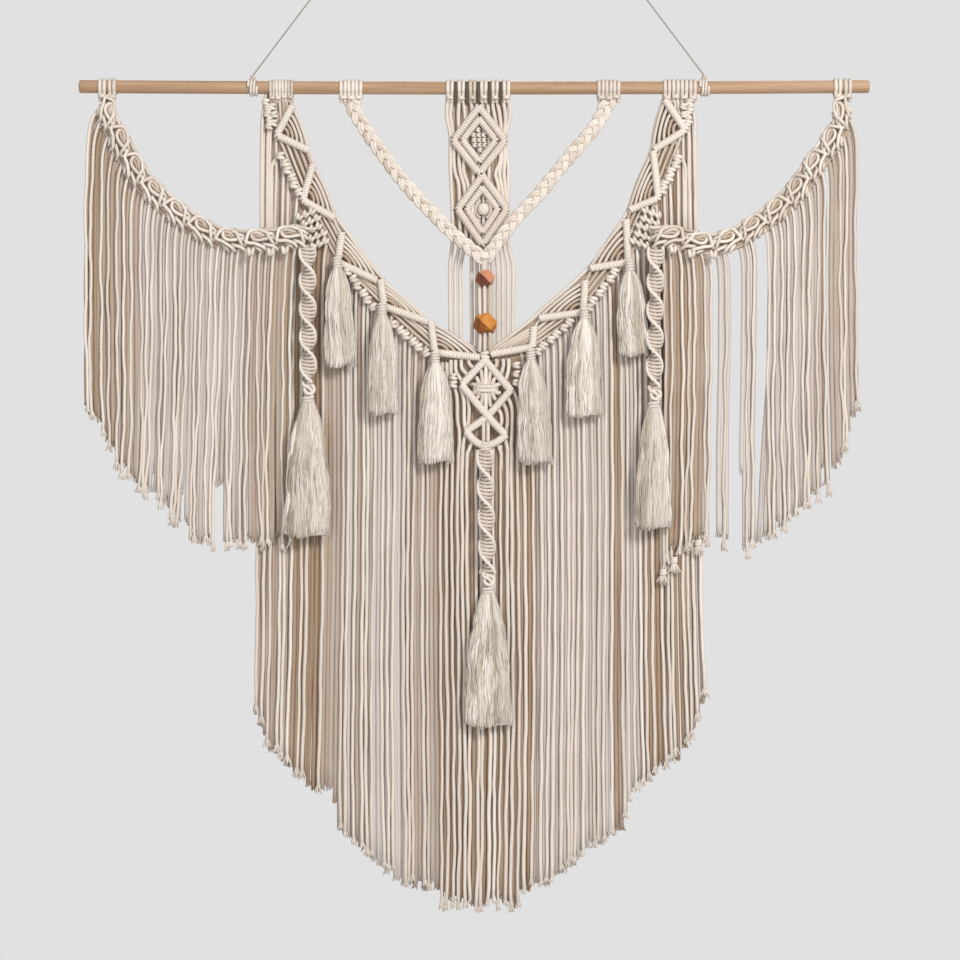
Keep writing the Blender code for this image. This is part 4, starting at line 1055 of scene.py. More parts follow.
def curtain_strands(bundle, xs, tips, depth, stray):
    """Roots and ends of strands that hang from the V at x, and how far each one's top bends over."""
    count = len(xs)
    xs = xs + stray * bundle.chance.uniform(-1.0, 1.0, count)
    flare = 1 + CURTAIN_FLARE * (tips / CURTAIN_HALF_WIDTH) ** 2
    end_x = tips * flare + bundle.chance.uniform(-1.0, 1.0, count)
    end_drop = np.interp(end_x, *zip(*CURTAIN_ENDS)) - ragged(bundle, count, CURTAIN_RAGGED) - 5
    roots = rows_of(xs, depth * 0.8 + 0.5, vee_outer_drop(xs) - 4)
    return roots, np.column_stack([end_x, end_drop]), -np.sign(xs) * CURTAIN_KICK


def curtain(cotton, shaded):
    """Two layers of long fringe that hang from the V; the one behind is the closer set."""
    edge = CURTAIN_HALF_WIDTH
    front = Bundle(SEED + 10)
    places, gathers = bays(front, -edge, edge, CURTAIN_BARE, CURTAIN_PITCH)
    outside = (places < PANEL_STRANDS[0] - 3) | (places > PANEL_STRANDS[-1] + 3)
    roots, ends, kick = curtain_strands(front, places[outside], gathers[outside], 0.0, 0.6)
    depths = front.chance.uniform(-0.8, 0.8, len(roots))
    loose = np.where(np.abs(roots[:, 0]) > CURTAIN_LOOSE, 1.9, 1.0)
    hang(front, roots, ends, depths, FRONT_TONE, FRONT_CORD, 46, kick, near=0.7, flare=loose)
    front.make("curtain_fringe", cotton, "cotton_cord", "vee_curtain")

    even = np.linspace(-edge + 3.0, edge - 3.0, CURTAIN_BACK_STRANDS)
    roots, ends, kick = curtain_strands(front, even, even, BACK_LAYER, 0.0)
    # The strands behind the panel are longer
    ends[:, 1] += np.where((ends[:, 0] > PANEL_END[0]) & (ends[:, 0] < PANEL_END[1]), 13.0, 0.0)
    tone = np.interp(even, *zip(*CURTAIN_PAINTED_SHADE))
    back = Bundle(SEED + 12)
    hang(back, roots, ends, BACK_LAYER, tone, BACK_CORD, 30, kick, near=0.25, group=0.8, fibres=5)
    back.make("curtain_back", shaded, "cotton_cord", "vee_curtain")


# ---------------------------------------------------------------- wings


def garland(side, line, cotton):
    """The wing's knots: those on the rod, those along its line and those that gather its fringe."""
    outward = OUTWARD[side]
    bundle = Bundle(SEED + 20 + outward)
    larks_heads(bundle, "wing_" + side)
    reach = line.length / WING_UNITS
    for i in range(WING_UNITS):
        wing_unit(bundle, line, i * reach, reach, 0.8 if i == 0 else 1.0, -outward)
    for x, drop in WING_GATHERS[side]:
        berry(bundle, x, drop, GATHER_DEPTH, GATHER_SIZE, math.pi / 2)
    bundle.make("wing_knots_" + side, cotton, "cotton_cord", "wing_" + side)


def wing_unit(bundle, line, start, reach, size, upper):
    """One knot of a garland. Upper is one where the line's sideways direction is up, or minus one."""
    for cord, tone in zip(GARLAND_CORDS, GARLAND_TONES):
        along, towards, forwards = np.array(cord).T
        points = line.place(start + along * reach / GARLAND_UNIT, upper * towards * size, forwards)
        tone = tone + 0.1 * bundle.chance.standard_normal()
        bundle.cord(points, 5 * len(cord), GARLAND_RADIUS, tone)
    # Cords that run on behind the knots, dark with painted shade
    along = np.linspace(start, start + reach, 8)
    for place in GARLAND_BACKS:
        if start > 0 or place > -6:
            bundle.add(line.place(along, upper * place * size, -2.0), CORD, tone=BACK_TONE - 0.05)


def wing_strands(bundle, side, line, xs, tips, behind):
    """Roots, ends, depths and kicks of the strands at xs, whose tips are elsewhere, from the middle out."""
    outward = OUTWARD[side]
    count = len(xs)
    along = np.linspace(6.0, line.length, 300)
    lower = line.place(along, outward * 8.5, -1.0)
    fall_x = lower[:, 0] * outward + 5.0 + 13.0 * np.exp(-(along - 6.0) / 18.0)
    order = np.argsort(fall_x)
    root_x, depth, drop = (np.interp(xs, fall_x[order], column[order]) for column in lower.T)
    end_x = (tips + WING_SPREAD[side]) * outward + bundle.chance.uniform(-1.5, 1.5, count)
    end_drop = np.interp(end_x, *zip(*WING_ENDS[side])) - ragged(bundle, count, WING_RAGGED) - 3
    roots = np.column_stack([xs * outward, depth + behind, drop])
    depths = np.where(xs < WING_OVER_CURTAIN, WING_OVER_CURTAIN_DEPTH, WING_DEPTH) + behind
    return roots, np.column_stack([end_x, end_drop]), depths, root_x - xs * outward


def outside_of(openings, xs, tips):
    """The strands whose tips don't hang in an opening."""
    clear = [not any(low < x < high for low, high in openings) for x in tips]
    return xs[clear], tips[clear]


def wing_front(side, line, cotton):
    """The front layer of a wing's fringe, in clumps, some of which part."""
    outward = OUTWARD[side]
    bundle = Bundle(SEED + 30 + outward)
    xs, tips = clumps(bundle, WING_INNER, WING_OUTER[side], WING_PITCH)
    xs, tips = outside_of(WING_GAPS[side] + WING_BARE[side], xs, tips)
    for low, high, _ in WING_PARTS[side]:
        within = (tips > low) & (tips < high)
        tips = np.where(within, np.where(tips < (low + high) / 2, low - 1, high + 1), tips)
    roots, ends, depths, kick = wing_strands(bundle, side, line, xs, tips, 0.0)
    depths = depths + bundle.chance.uniform(-0.8, 0.8, len(xs))
    # The left wing's strands are painted a little paler and the right's a little darker, against the key
    # lamp's brighter light on the right
    tone = FRONT_TONE - 0.04 * outward
    hang(bundle, roots, ends, depths, tone, WING_CORD, 40, kick, WING_KICK_LENGTH,
         near=1.5, group=1.8, flare=1.5)
    for x, drop in WING_TUFTS[side]:
        tuft(bundle, x, -6.0, drop)
    bundle.make("wing_fringe_" + side, cotton, "cotton_cord", "wing_" + side)


def wing_back(side, line, shaded):
    """The even layer behind, which ends early where the front one parts."""
    bundle = Bundle(SEED + 34 + OUTWARD[side])
    even = np.arange(WING_INNER + 2, WING_OUTER[side] - 2, WING_BACK_PITCH)
    xs, tips = outside_of(WING_GAPS[side], even, even)
    xs = np.append(xs, [root for root, _ in WING_DRIFTS[side]])
    tips = np.append(tips, [end for _, end in WING_DRIFTS[side]])
    roots, ends, depths, kick = wing_strands(bundle, side, line, xs, tips, BACK_LAYER)
    ends[:, 1] -= 8
    for low, high, short in WING_PARTS[side]:
        within = (tips > low) & (tips < high)
        ends[:, 1] = np.where(within, short + ragged(bundle, len(xs), 14.0), ends[:, 1])
    tone = np.interp(xs, *zip(*WING_PAINTED_SHADE[side]))
    hang(bundle, roots, ends, depths, tone, BACK_CORD, 28, kick, WING_KICK_LENGTH,
         near=0.3, group=1.8, fibres=5)
    bundle.make("wing_back_" + side, shaded, "cotton_cord", "wing_" + side)


def wing(side, cotton, shaded):
    """A garland of knots along a falling line, with its own fringe."""
    line = Line(WING_LINES[side])
    garland(side, line, cotton)
    wing_front(side, line, cotton)
    wing_back(side, line, shaded)


# ---------------------------------------------------------------- V garland


def bar(bundle, points, depth, side=BAR_SIDE, tone=KNOT_TONE + 0.12):
    """A bar of tight half hitches through x, drop points."""
    line = Line([(x, depth, drop) for x, drop in points], 240)
    bundle.add(line.coil(0, line.length, side, BAR_FRONT, BAR_PITCH), BAR_CORD, sides=6, tone=tone)


def corner_line(points, cut=0.22):
    """Points of a bent line with its corners a little rounded."""
    points = np.array(points, dtype=float)
    rows = [points[0]]
    for before, here, after in zip(points, points[1:], points[2:]):
        rows.append(here + (before - here) * cut)
        rows.append(here * 0.97 + (before + after) * 0.015)
        rows.append(here + (after - here) * cut)
    rows.append(points[-1])
    return rows


def leaf(bundle, corners):
    """Two hitch bars that meet at an outer point, with cords nested between them."""
    inner, outer, following = np.array(corners, dtype=float)
    bar(bundle, corner_line(corners), LEAF_DEPTH)
    away = unit((inner + following) / 2 - outer)
    across, depths = np.array((0.0, 0.25, 0.5, 0.75, 1.0)), np.array((-2.6, -3.4, -3.8, -3.4, -2.6))
    bulge = np.array((0.0, 0.8, 1.0, 0.8, 0.0))
    for i in range(LEAF_CORDS):
        share = 0.30 + 0.70 * i / (LEAF_CORDS - 1)
        first = outer + (inner - outer) * share
        last = outer + (following - outer) * share
        flat = first + np.outer(across, last - first) + np.outer(bulge, away * 5.5 * (1 - 0.55 * share))
        # The cords nearest the outer point, round the hole there, are painted darker as shade
        tone = ARM_TONE + 0.1 - 0.35 * (share < 0.6) + bundle.chance.uniform(-0.08, 0.1)
        bundle.cord(rows_of(flat[:, 0], depths, flat[:, 1]), 22, CORD * 0.78, tone)


def fan(bundle, before, after):
    """Cords from one leaf's second bar to the next leaf's first."""
    before, after = np.array(before, dtype=float), np.array(after, dtype=float)
    for i in range(FAN_CORDS):
        share = (i + 0.3) / (FAN_CORDS - 0.4)
        top = before[2] + (before[1] - before[2]) * share
        foot = after[0] + (after[1] - after[0]) * share
        middle = (top + foot) / 2 + bundle.chance.uniform(-0.8, 0.8, 2)
        x, drop = np.array((top, middle, foot)).T
        rows = rows_of(x, (FAN_DEPTH - 1.0, FAN_DEPTH, FAN_DEPTH - 1.0), drop)
        # Their low arm tone is painted shade
        bundle.cord(rows, 14, CORD * 0.84, ARM_TONE + bundle.chance.uniform(-0.2, 0.12))


def berry(bundle, x, drop, depth, size, turn=0.0):
    """A small square knot: two short thick loops, one above the other, that lean towards each other."""
    heading = np.array([math.sin(turn), math.cos(turn)])
    across = np.array([math.cos(turn), -math.sin(turn)])
    share = np.linspace(-1, 1, 9)
    bow = 1 - share**2
    for sign in (-1, 1):
        flat = np.outer(share * size * 0.8, across) + np.outer(sign * (size * 0.42 + 0.7 * share), heading)
        rows = rows_of(x + flat[:, 0], depth - 2.4 * bow, drop + flat[:, 1])
        tone = KNOT_TONE + bundle.chance.uniform(-0.05, 0.2)
        bundle.add(rows, 0.5 * size * (0.8 + 0.2 * bow), tone=tone)


def cluster(bundle, first, last):
    """A slanting block of small square knots between two corners."""
    first, last = np.array(first, dtype=float), np.array(last, dtype=float)
    run = last - first
    across = unit(np.array([run[1], -run[0]])) * CLUSTER_STEP
    turn = math.atan2(run[1], run[0])
    for row in range(CLUSTER_ROWS):
        for column in range(CLUSTER_COLUMNS):
            sideways = column - (CLUSTER_COLUMNS - 1) / 2 + 0.25 * (row % 2)
            x, drop = first + run * row / (CLUSTER_ROWS - 1) + across * sideways
            berry(bundle, x, drop, CLUSTER_DEPTH, CLUSTER_SIZE, turn)


def berry_row(bundle, start, end, count):
    """A row of small knots that lean to either side in turn."""
    run = math.atan2(end[0] - start[0], end[1] - start[1])
    size = LARGE_BERRY if count > 5 else SMALL_BERRY
    for number, share in enumerate(np.linspace(0, 1, count)):
        x, drop = np.array(start) + (np.array(end) - np.array(start)) * share
        swing = 1.0 if number % 2 else -1.0
        berry(bundle, x + 0.8 * swing, drop, BERRY_DEPTH, size, 0.4 * run + 0.15 * swing)


def vee(side, cotton):
    """One arm of the V garland."""
    sign = OUTWARD[side]
    bundle = Bundle(SEED + 40 + sign)
    larks_heads(bundle, "vee_" + side)
    inner, outer = np.array(VEE_INNER[side], dtype=float), np.array(VEE_OUTER[side], dtype=float)
    # Cords that run on behind the leaves; the one at the inner edge is seen, and the others are dark with
    # painted shade
    for share in np.linspace(0.02, 0.98, 7):
        seen = share < 0.1
        x, drop = (inner + (outer - inner) * share).T
        depth, radius, tone = (0.0, CORD, KNOT_TONE) if seen else (BACK_DEPTH, 2.9, BACK_TONE - 0.1)
        bundle.cord(rows_of(x, depth, drop), 60, radius, tone)
    leaves = LEAVES[side]
    for corners in leaves:
        leaf(bundle, corners)
    for first, last in CLUSTERS[side]:
        cluster(bundle, first, last)
    for strand in SIDE_STRANDS:
        bundle.cord(np.array(strand) * (sign, 1, 1), 60, CORD, FRONT_TONE)
    near, far = (sign * TOP_FAN_INNER, TOP_FAN_DROP), (sign * TOP_FAN_OUTER, TOP_FAN_DROP)
    for before, after in zip(((near, far, near), *leaves), leaves):
        fan(bundle, before, after)
    for start, end, count in BERRY_ROWS[side]:
        berry_row(bundle, start, end, count)
    bundle.make("vee_knots_" + side, cotton, "cotton_cord", "vee_curtain")


def drop_middle(bundle):
    """Cords from bar to bar of the diamond, and the knot that draws them together."""
    x, middle = DROP_MIDDLE
    top, cross = DROP_TOP[1], DROP_CROSS[1]
    for k in range(-3, 4):
        spread = abs(k) / 3.9
        up = top + (middle - top) * spread + 3.0
        down = cross + (middle - cross) * spread - 3.0
        rows = rows_of(
            x + k * np.array((5.4, 4.4, 3.0, 4.4, 5.4)),
            DROP_DEPTH + np.array((1.5, -0.6, -2.2, -0.6, 1.5)),
            (up, (up + middle - 5) / 2, middle, (down + middle + 5) / 2, down),
        )
        bundle.cord(rows, 20, CORD)
    share = np.linspace(-1, 1, 15)
    for level in (-2.2, 2.2):
        drops = middle + level * (1 - 0.2 * share**2)
        bundle.add(rows_of(x + share * 11.0, DROP_DEPTH - 5.0 + 4.4 * share**4, drops), CORD)
    angle = np.linspace(-1.1, 1.1, 14)
    for side in (-1, 1):
        for reach in (9.4, 12.6):
            across = x + side * (reach - 7.0 + 7.0 * np.cos(angle))
            depth = DROP_DEPTH - 2.6 + 0.84 * (reach - 9.4)
            bundle.add(rows_of(across, depth, middle + 7.4 * np.sin(angle)), CORD * 0.95)


def drop(cotton):
    """The diamond, the box below it and the foot at the V's point."""
    bundle = Bundle(SEED + 50)
    bar(bundle, (DROP_TOP, DROP_LEFT), DROP_DEPTH)
    bar(bundle, (DROP_TOP, DROP_RIGHT), DROP_DEPTH)
    bar(bundle, (DROP_LEFT, DROP_CROSS, BOX_RIGHT), DROP_DEPTH - 0.8)
    bar(bundle, (DROP_RIGHT, DROP_CROSS, BOX_LEFT), DROP_DEPTH + 1.0)
    bar(bundle, (BOX_LEFT, *BOX_BOTTOM, BOX_RIGHT), DROP_DEPTH)
    drop_middle(bundle)
    for start, end in DROP_SIDE_CORDS:
        rows = [(start, -1.0, 318), (start, -1.6, 370), (end, -2.2, PANEL_ROOT + 4)]
        bundle.cord(rows, 24, CORD, FRONT_TONE)
    # Two cords that hang inside the box
    for x in (DROP_MIDDLE[0] - 2.6, DROP_MIDDLE[0] + 2.6):
        rows = [(x, DROP_DEPTH + 1, 384), (x, DROP_DEPTH, 397), (x, DROP_DEPTH + 1, 410)]
        bundle.cord(rows, 10, CORD)
    for arc in DROP_ARCS:
        rows = [(x, -2.6, level) for x, level in arc]
        last_x, last_level = arc[-1]
        if last_level > PANEL_ROOT:
            # These go on behind the strands of the middle block
            rows[-1:] = [(last_x, -2.0, 424), (last_x, 1.5, 442)]
        bundle.cord(rows, 8 * len(arc), CORD)
    for x, level, size in DROP_KNOTS:
        berry(bundle, x, level, DROP_KNOT_DEPTH, size)
    foot = Line(DROP_FOOT, 30)
    bundle.add(foot.coil(0, foot.length, 5.6, 3.4, 3.4), CORD)
    bundle.make("drop_knots", cotton, "cotton_cord", "vee_curtain")


# ---------------------------------------------------------------- middle panel


def ring(bundle, diamond, offset, side):
    """A diamond-shaped bar, so far outside a diamond."""
    x, middle, half_width, above, below, depth = diamond
    slant = math.hypot(half_width, above)
    wide = half_width + offset * slant / above
    top, foot = middle - above - offset * slant / half_width, middle + below + offset * slant / half_width
    corners = [(x, top), (x + wide, middle), (x, foot), (x - wide, middle), (x, top)]
    bar(bundle, corner_line(corners, 0.2), depth, side, KNOT_TONE)


def panel_cords(bundle):
    """The panel's cords, the cords behind them darkened with painted shade, and strips of painted shadow
    between the knots on the rod.
    """
    for cord, middle, end in zip(PANEL_CORDS, PANEL_MIDDLE_X, np.linspace(*PANEL_END, len(PANEL_CORDS))):
        rows = [(x, 0.4 if i else -1.2, level) for i, (x, level) in enumerate(cord)]
        rows += [(middle, 4.6, 207), (middle, 4.6, 240), (middle, 4.6, 300)]
        rows += [((middle + end) / 2, 5.0, 370), (end, 5.0, 430)]
        bundle.cord(rows, 90, CORD, FRONT_TONE)
    for place in np.linspace(-29, 31, 13):
        rows = [(place, 4.5, 14), (place, 4.8, 100), (place, 4.8, 172 + 16 * (1 - abs(place - 6) / 34))]
        bundle.cord(rows, 12, CORD * 1.1, BACK_TONE - 0.1)
    # Strips of painted shadow on the rod between the knots
    left, right, count = HEADS["panel"]
    for place in np.linspace(left, right, count + 1)[1:-1]:
        rows = rows_of(place, (-6.5, -8.2, -8.2, -4.0), rod_drop(place) + np.array((-6, -2, 4, 18)))
        bundle.cord(rows, 12, SHADOW_STRIP_CORD, SHADOW_STRIP_TONE)


def bobble(bundle, diamond):
    """A round knot in a diamond's middle, with a few cords that curve round it."""
    x, middle, depth = diamond.x + 1, diamond.drop, diamond.depth
    share = np.linspace(0, 1, 60)
    wound = TAU * BOBBLE_TURNS * share
    tall = (1 - 2 * share) * (BOBBLE_RADIUS - 1.4)
    reach = np.sqrt(np.maximum(BOBBLE_RADIUS**2 - tall**2, 0.0)) - 1.2
    rows = rows_of(x + reach * np.cos(wound), depth - 1.5 - reach * 0.8 * np.sin(wound), middle + tall)
    bundle.add(rows, CORD * 0.9)
    angle = np.linspace(-1.15, 1.15, 16)
    for reach in (-8.4, -12.4, 8.8):
        drops = middle + abs(reach) * 1.25 * np.sin(angle)
        bundle.add(rows_of(x + reach * np.cos(angle), depth + 0.6, drops), CORD * 0.85)


def panel_fringe(cotton):
    """The panel's strands below the V, in front of the rest."""
    bundle = Bundle(SEED + 61)
    count = len(PANEL_STRANDS)
    roots = rows_of(PANEL_STRANDS, -2.2, PANEL_ROOT - ragged(bundle, count, 16.0))
    end_x = np.linspace(*PANEL_END, count) + bundle.chance.uniform(-1.5, 1.5, count)
    ends = np.column_stack([end_x, PANEL_END_DROP - ragged(bundle, count, PANEL_RAGGED)])
    hang(bundle, roots, ends, -1.0, FRONT_TONE, FRONT_CORD, 40)
    bundle.make("panel_fringe", cotton, "cotton_cord", "center_panel")


def panel(cotton):
    """Twelve cords with two diamonds, which hang on behind the rest as a middle block of fringe."""
    bundle = Bundle(SEED + 60)
    larks_heads(bundle, "panel")
    panel_cords(bundle)
    for diamond in (UPPER_DIAMOND, LOWER_DIAMOND):
        ring(bundle, diamond, RING_OFFSET, BAR_SIDE)
        ring(bundle, diamond, -RING_OFFSET * 0.9, BAR_SIDE * 0.85)
    x, middle, depth = UPPER_DIAMOND.x, UPPER_DIAMOND.drop, UPPER_DIAMOND.depth
    for row in range(-2, 3):
        for column in range(-1, 2):
            if abs(row) + abs(column) < 3:
                berry(bundle, x + column * 5.6 + 0.6 * row, middle + row * 5.8, depth, 2.7)
    bobble(bundle, LOWER_DIAMOND)
    bundle.make("panel_knots", cotton, "cotton_cord", "center_panel")
    panel_fringe(cotton)


# ---------------------------------------------------------------- swag and beads


def braid(bundle, line):
    """A flat braid of three double cords, widest where it leaves the rod."""
    along = np.linspace(0, line.length, int(line.length / 1.8))
    wide = BRAID_SWING * (1 + 0.55 * np.exp(-along / 16))
    for k in range(3):
        angle = TAU * along / BRAID_PERIOD + k * TAU / 3
        slope = wide * TAU / BRAID_PERIOD * np.cos(angle)
        normal = np.hypot(1, slope)
        for twin in (-1, 1):
            across = wide * np.sin(angle) + twin * BRAID_APART / normal
            lead = -twin * BRAID_APART * slope / normal
            front = BRAID_LIFT * np.sin(2 * angle) - 0.3 * twin * np.cos(angle)
            bundle.add(line.place(along + lead, across, front), BRAID_CORD)


def swag(cotton):
    """Two braids that meet below the panel, and the cords that the beads are threaded on."""
    bundle = Bundle(SEED + 70)
    for side in OUTWARD:
        larks_heads(bundle, "swag_" + side)
        braid(bundle, Line(SWAG_LINES[side]))
    x, depth, drops, apart = np.array(BEAD_CORDS, dtype=float).T
    for number in range(BEAD_CORD_COUNT):
        angle = 0.4 + number * TAU / BEAD_CORD_COUNT
        path = rows_of(x + apart * math.cos(angle), depth + 0.35 * apart * math.sin(angle), drops)
        bundle.cord(path, 76, CORD * 0.9)
    bundle.make("swag_braids", cotton, "cotton_cord", "swag")


def bead(source, name, finish, slot):
    """The faceted bead of the part, with its edges softened."""
    mesh = source.data.copy()
    shape = bmesh.new()
    shape.from_mesh(mesh)
    bmesh.ops.remove_doubles(shape, verts=shape.verts, dist=1e-6)
    bmesh.ops.dissolve_limit(shape, angle_limit=math.radians(3), verts=shape.verts, edges=shape.edges)
    shape.to_mesh(mesh)
    shape.free()
    mesh.materials.clear()
    mesh.materials.append(finish)
    made = bpy.data.objects.new(name + "_turned", mesh)
    bevel = made.modifiers.new("Softened", "BEVEL")
    bevel.width = BEAD_EDGE * MM
    bevel.segments = 3
    bevel.limit_method = "ANGLE"
    bevel.angle_limit = math.radians(25)
    return settle(made, slot, name)


# ---------------------------------------------------------------- spirals and tassels


def spiral_twist(share, half_turns):
    """The spiral's angle a share of the way down. It turns slowly where its flat face is in front."""
    even = math.pi * half_turns * share + SPIRAL_START
    return even - SPIRAL_DWELL * np.sin(2 * even)


def spiral_knot(bundle, centre, end_x, depth, foot, end):
    """A loop with a cord drawn through it, over the cords that go on to the tassel."""
    middle = foot + 8.0
    turn = np.linspace(0, TAU, 26)
    ring = rows_of(centre + 1.6 + 5.4 * np.cos(turn), depth - 2.6, middle + 5.4 * np.sin(turn))
    bundle.add(ring, 2.2, tone=KNOT_TONE + 0.1)
    drawn = [
        (centre - 6.0, depth - 1.0, foot - 1),
        (centre - 4.6, depth - 4.6, foot + 3.5),
        (centre + 0.6, depth - 4.4, foot + 6.0),
        (centre + 4.6, depth - 2.2, foot + 11.5),
        (centre + 2.0, depth - 1.0, end),
    ]
    bundle.cord(drawn, 22, 2.0, KNOT_TONE + 0.1)
    # The cords under the loop carry painted shade
    for apart in (-3.4, 0.0, 3.0):
        below = (end_x + 0.8 * apart, depth, end + 3)
        rows = [(centre + apart, depth, foot - 3), (centre + apart, depth + 0.6, middle), below]
        bundle.cord(rows, 12, 2.1, BACK_TONE + 0.1)


def spiral(side, cotton):
    """A half-knot spiral sennit, which turns half round every few centimetres, and the knot below it."""
    x, depth, top, end_x, end, half_turns = SPIRALS[side]
    foot = end - SPIRAL_KNOT
    lean = (end_x - x) / (end - top)
    bundle = Bundle(SEED + 80)
    # The knotting cord, one half knot after another
    share = np.linspace(0, 1, int((foot - top) / SPIRAL_PITCH * 15))
    drops = top + 2 + (foot - top - 2) * share
    twist = spiral_twist(share, half_turns)
    wind = TAU * (drops - top) / SPIRAL_PITCH
    wide, thin = SPIRAL_WIDE * np.cos(wind), SPIRAL_THIN * np.sin(wind)
    across = x + lean * (drops - top) + wide * np.cos(twist) - thin * np.sin(twist)
    depths = depth + wide * np.sin(twist) + thin * np.cos(twist)
    rows = rows_of(across, depths, drops + 1.6 * np.sin(wind) ** 2)
    bundle.add(rows, SPIRAL_CORD, sides=6, tone=KNOT_TONE - 0.1)
    # The two edges that the half knots leave, winding round the core
    share = np.linspace(0, 1, int((foot - top) / 2.0))
    drops = top + (foot - top) * share
    twist = spiral_twist(share, half_turns)
    ripple = 0.8 * np.sin(TAU * drops / SPIRAL_PITCH)
    middle = x + lean * (drops - top)
    for edge in (-1, 1):
        across = middle + edge * SPIRAL_EDGE_WIDE * np.cos(twist)
        rows = rows_of(across, depth + edge * SPIRAL_EDGE_DEEP * np.sin(twist), drops + ripple)
        bundle.add(rows, SPIRAL_EDGE_CORD, tone=KNOT_TONE + 0.2)
    # The core, which shows between the edges, is dark with painted shade
    bundle.add(rows_of(middle, depth, drops), SPIRAL_CORE, sides=8, tone=BACK_TONE)
    spiral_knot(bundle, x + lean * (foot + 8.0 - top), end_x, depth, foot, end)
    bundle.make("spiral_cords_" + side, cotton, "cotton_cord", "spiral_" + side)


def tassel_spread(kind, drops, skirt, end):
    """How wide a tassel is at some drops, as a share of its full width."""
    share = np.clip((drops - skirt) / (end - skirt), 0, 1)
    return (1 - np.exp(-kind.steep * share)) / (1 - math.exp(-kind.steep)) * (0.84 + 0.16 * share)


def tassel_waves(chance, drops, of_lock):
    """How far combed strands stray sideways: each lock's sway and each strand's own."""
    many = len(drops)
    lock_wave = chance.uniform(9, 17, TASSEL_LOCKS)[of_lock, None]
    lock_turn = chance.uniform(0, TAU, TASSEL_LOCKS)[of_lock, None]
    own_wave = chance.uniform(3.6, 7, (many, 1))
    own_turn = chance.uniform(0, TAU, (many, 1))
    return 1.3 * np.sin(drops / lock_wave + lock_turn) + 0.65 * np.sin(drops / own_wave + own_turn)


def tassel(name, combed):
    """A wrapped neck and a fan of combed strands round a soft body."""
    x, depth, top, end_x, end, half_width = TASSELS[name]
    kind = LARGE_TASSEL if "spiral" in name else SMALL_TASSEL
    bundle = Bundle(SEED + 90 + len(name) + int(abs(x)))
    chance = bundle.chance
    lean = (end_x - x) / (end - top)
    skirt, open_width = top + kind.skirt, half_width * kind.full - kind.neck

    drops = np.linspace(top + 3, end - 5, 24)
    spread = tassel_spread(kind, drops, skirt, end)
    body = rows_of(x + lean * (drops - top), float(depth), drops)
    bundle.flat_body(body, kind.neck + (open_width - 2.6) * spread, 3.4 + 2.4 * spread, 0.45)
    neck = Line([(x + lean * run, depth, top + fall) for run, fall in kind.line], 20)
    bundle.add(neck.coil(0, neck.length, *kind.coil), kind.cord, sides=6, tone=NECK_TONE)

    # Combed strands, in locks that sway alike
    many = int(TASSEL_STRANDS_PER_MM * half_width)
    of_lock = chance.integers(0, TASSEL_LOCKS, many)
    angle = (TAU * (of_lock + chance.uniform(-0.75, 0.75, many)) / TASSEL_LOCKS)[:, None]
    radial = 0.80 + 0.20 * np.sqrt(chance.uniform(0, 1, (many, 1)))
    longest = 0.985 + 0.02 * np.sin(angle * 3 + 1.0) - 0.012 * np.cos(angle) ** 2
    start = top + kind.start
    share = np.linspace(0, 1, TASSEL_STRAND_ROWS)[None]
    drops = start + (end - start) * share * longest * chance.uniform(0.975, 1.0, (many, 1))
    spread = tassel_spread(kind, drops, skirt, end)
    wide = (kind.neck + (open_width - 1.0) * spread) * radial
    thick = (3.4 + 3.0 * spread) * radial
    waves = tassel_waves(chance, drops, of_lock) * np.clip((drops - skirt) / 45, 0, 1)
    across = x + lean * (drops - top) + wide * np.cos(angle) + waves
    paths = np.stack([across, depth + thick * np.sin(angle) + 0.4 * waves, drops], axis=-1)
    radii = np.linspace(0.95, 0.75, TASSEL_STRAND_ROWS) * chance.uniform(0.75, 1.15, (many, 1))
    lock_tone = 0.22 * chance.standard_normal(TASSEL_LOCKS)[of_lock]
    tones = TASSEL_TONE + kind.uneven * (lock_tone + 0.18 * chance.standard_normal(many))
    if kind is LARGE_TASSEL:
        # Its left side, away from the key lamp, is painted darker as shade
        tones = tones - 0.4 * np.clip(-np.cos(angle[:, 0]) - 0.25, 0, 1)
    bundle.add(paths, radii, 4, tones)
    bundle.make(name + "_strands", combed, "combed_cotton", name)


# ---------------------------------------------------------------- studio


def light(name, place, size, power, colour):
    """A round lamp that points at the hanging."""
    data = bpy.data.lights.new(name, "AREA")
    data.shape = "DISK"
    data.size = size
    data.energy = power
    data.color = colour
    lamp = bpy.data.objects.new(name, data)
    bpy.context.scene.collection.objects.link(lamp)
    lamp.location = place
    lamp.rotation_euler = (Vector(LIGHT_TARGET) - Vector(place)).to_track_quat("-Z", "Y").to_euler()


def sky():
    """Even light from all round, seen by the camera as a plain grey."""
    made = bpy.data.worlds.new("studio")
    bpy.context.scene.world = made
    made.use_nodes = True
    tree = made.node_tree
    background = tree.nodes["Background"]
    background.inputs["Color"].default_value = (1, 1, 1, 1)
    seen = tree.nodes.new("ShaderNodeLightPath").outputs["Is Camera Ray"]
    strength = tree.nodes.new("ShaderNodeMapRange")
    tree.links.new(seen, strength.inputs["Value"])
    strength.inputs["To Min"].default_value = AMBIENT
    strength.inputs["To Max"].default_value = BACKDROP_GREY
    tree.links.new(strength.outputs["Result"], background.inputs["Strength"])


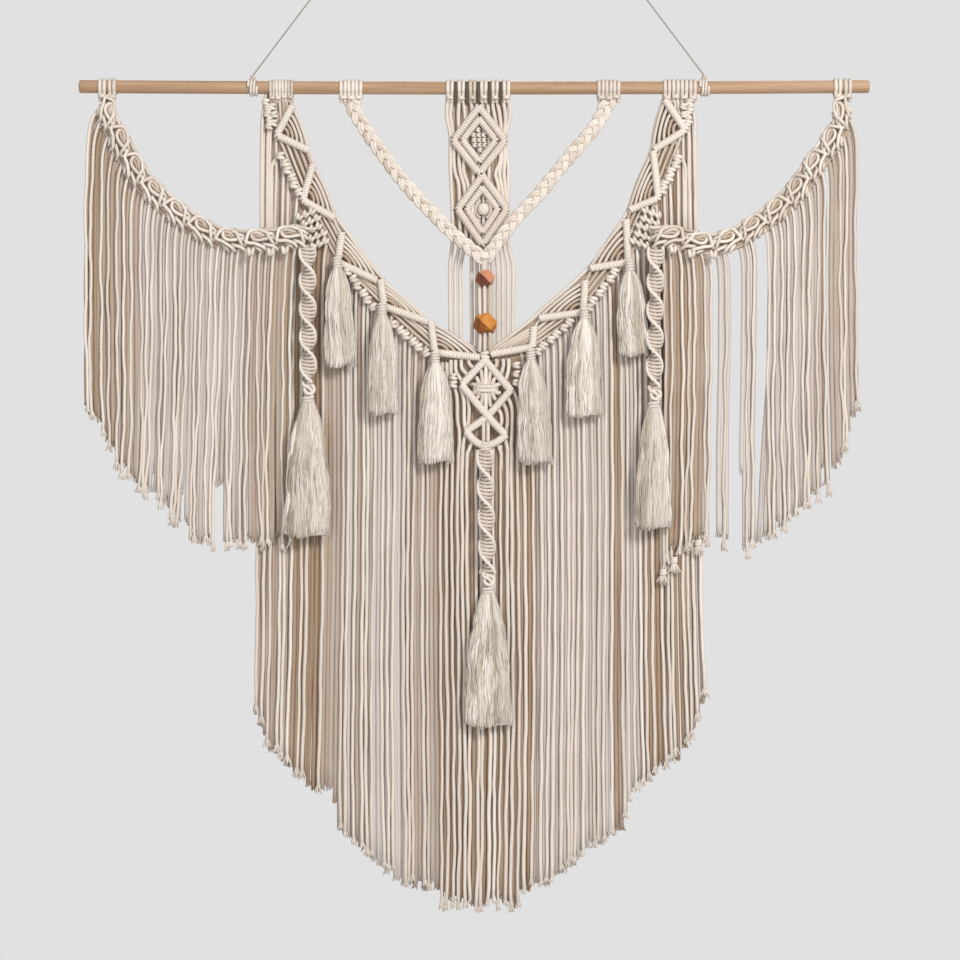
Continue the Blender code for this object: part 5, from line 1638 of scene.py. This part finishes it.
def ground():
    """A pale floor well below the hanging."""
    half = FLOOR_HALF_WIDTH
    corners = [(-half, FLOOR_FRONT), (half, FLOOR_FRONT), (half, FLOOR_BACK), (-half, FLOOR_BACK)]
    mesh = bpy.data.meshes.new("floor")
    mesh.from_pydata([(x, y, FLOOR_Z) for x, y in corners], [], [(0, 1, 2, 3)])
    floor = bpy.data.objects.new("floor", mesh)
    bpy.context.scene.collection.objects.link(floor)
    nodes = Nodes("floor")
    grain = nodes.noise(nodes.space(), 3.0, 3.0)
    mesh.materials.append(nodes.finish(nodes.ramp(grain, (0.3, FLOOR_DARK), (0.7, FLOOR_LIGHT)), 0.8))


def studio():
    """The camera, the floor and the lights."""
    scene = bpy.context.scene
    scene.view_settings.view_transform = "Standard"
    sky()
    camera = bpy.data.objects.new("camera", bpy.data.cameras.new("camera"))
    scene.collection.objects.link(camera)
    camera.location = (CAMERA_X * MM, -CAMERA_DISTANCE * MM, CAMERA_HEIGHT * MM)
    camera.rotation_euler = (math.pi / 2, 0, 0)
    camera.data.sensor_width = SENSOR
    camera.data.lens = SENSOR * CAMERA_DISTANCE / VIEW_WIDTH
    scene.camera = camera
    ground()
    for name, (place, size, power, colour) in LIGHTS.items():
        light(name, place, size, power, colour)


# ---------------------------------------------------------------- all together

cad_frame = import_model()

studio()
cotton = twisted_cotton("cotton_cord", COTTON_LIGHT, COTTON_DARK)
shaded = twisted_cotton("shaded_cotton", SHADED_LIGHT, SHADED_DARK)
thread_finish = twisted_cotton(
    "hanging_thread", THREAD_LIGHT, THREAD_DARK, THREAD_PLIES, THREAD_LAY, THREAD_GROOVE
)
combed = combed_cotton("combed_cotton", COMBED_LIGHT, COMBED_DARK)
rod_finish = wood("rod_wood", ROD_LIGHT, ROD_DARK, ROD_GRAIN, ROD_BANDS, ROD_ROUGHNESS)

rod(rod_finish)
hanger(cotton, thread_finish)
curtain(cotton, shaded)
for arm in OUTWARD:
    wing(arm, cotton, shaded)
    vee(arm, cotton)
drop(cotton)
panel(cotton)
swag(cotton)
for name, slot, lightest, darkest in (
    ("bead_small", "copper_bead", COPPER_LIGHT, COPPER_DARK),
    ("bead_large", "amber_bead", AMBER_LIGHT, AMBER_DARK),
):
    stained = wood(slot, lightest, darkest, BEAD_GRAIN, BEAD_BANDS, BEAD_ROUGHNESS, BEAD_PAINTED_LIGHT)
    bead(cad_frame["nodes"][name], name, stained, slot)
for key in SPIRALS:
    spiral(key, cotton)
for key in TASSELS:
    tassel(key, combed)
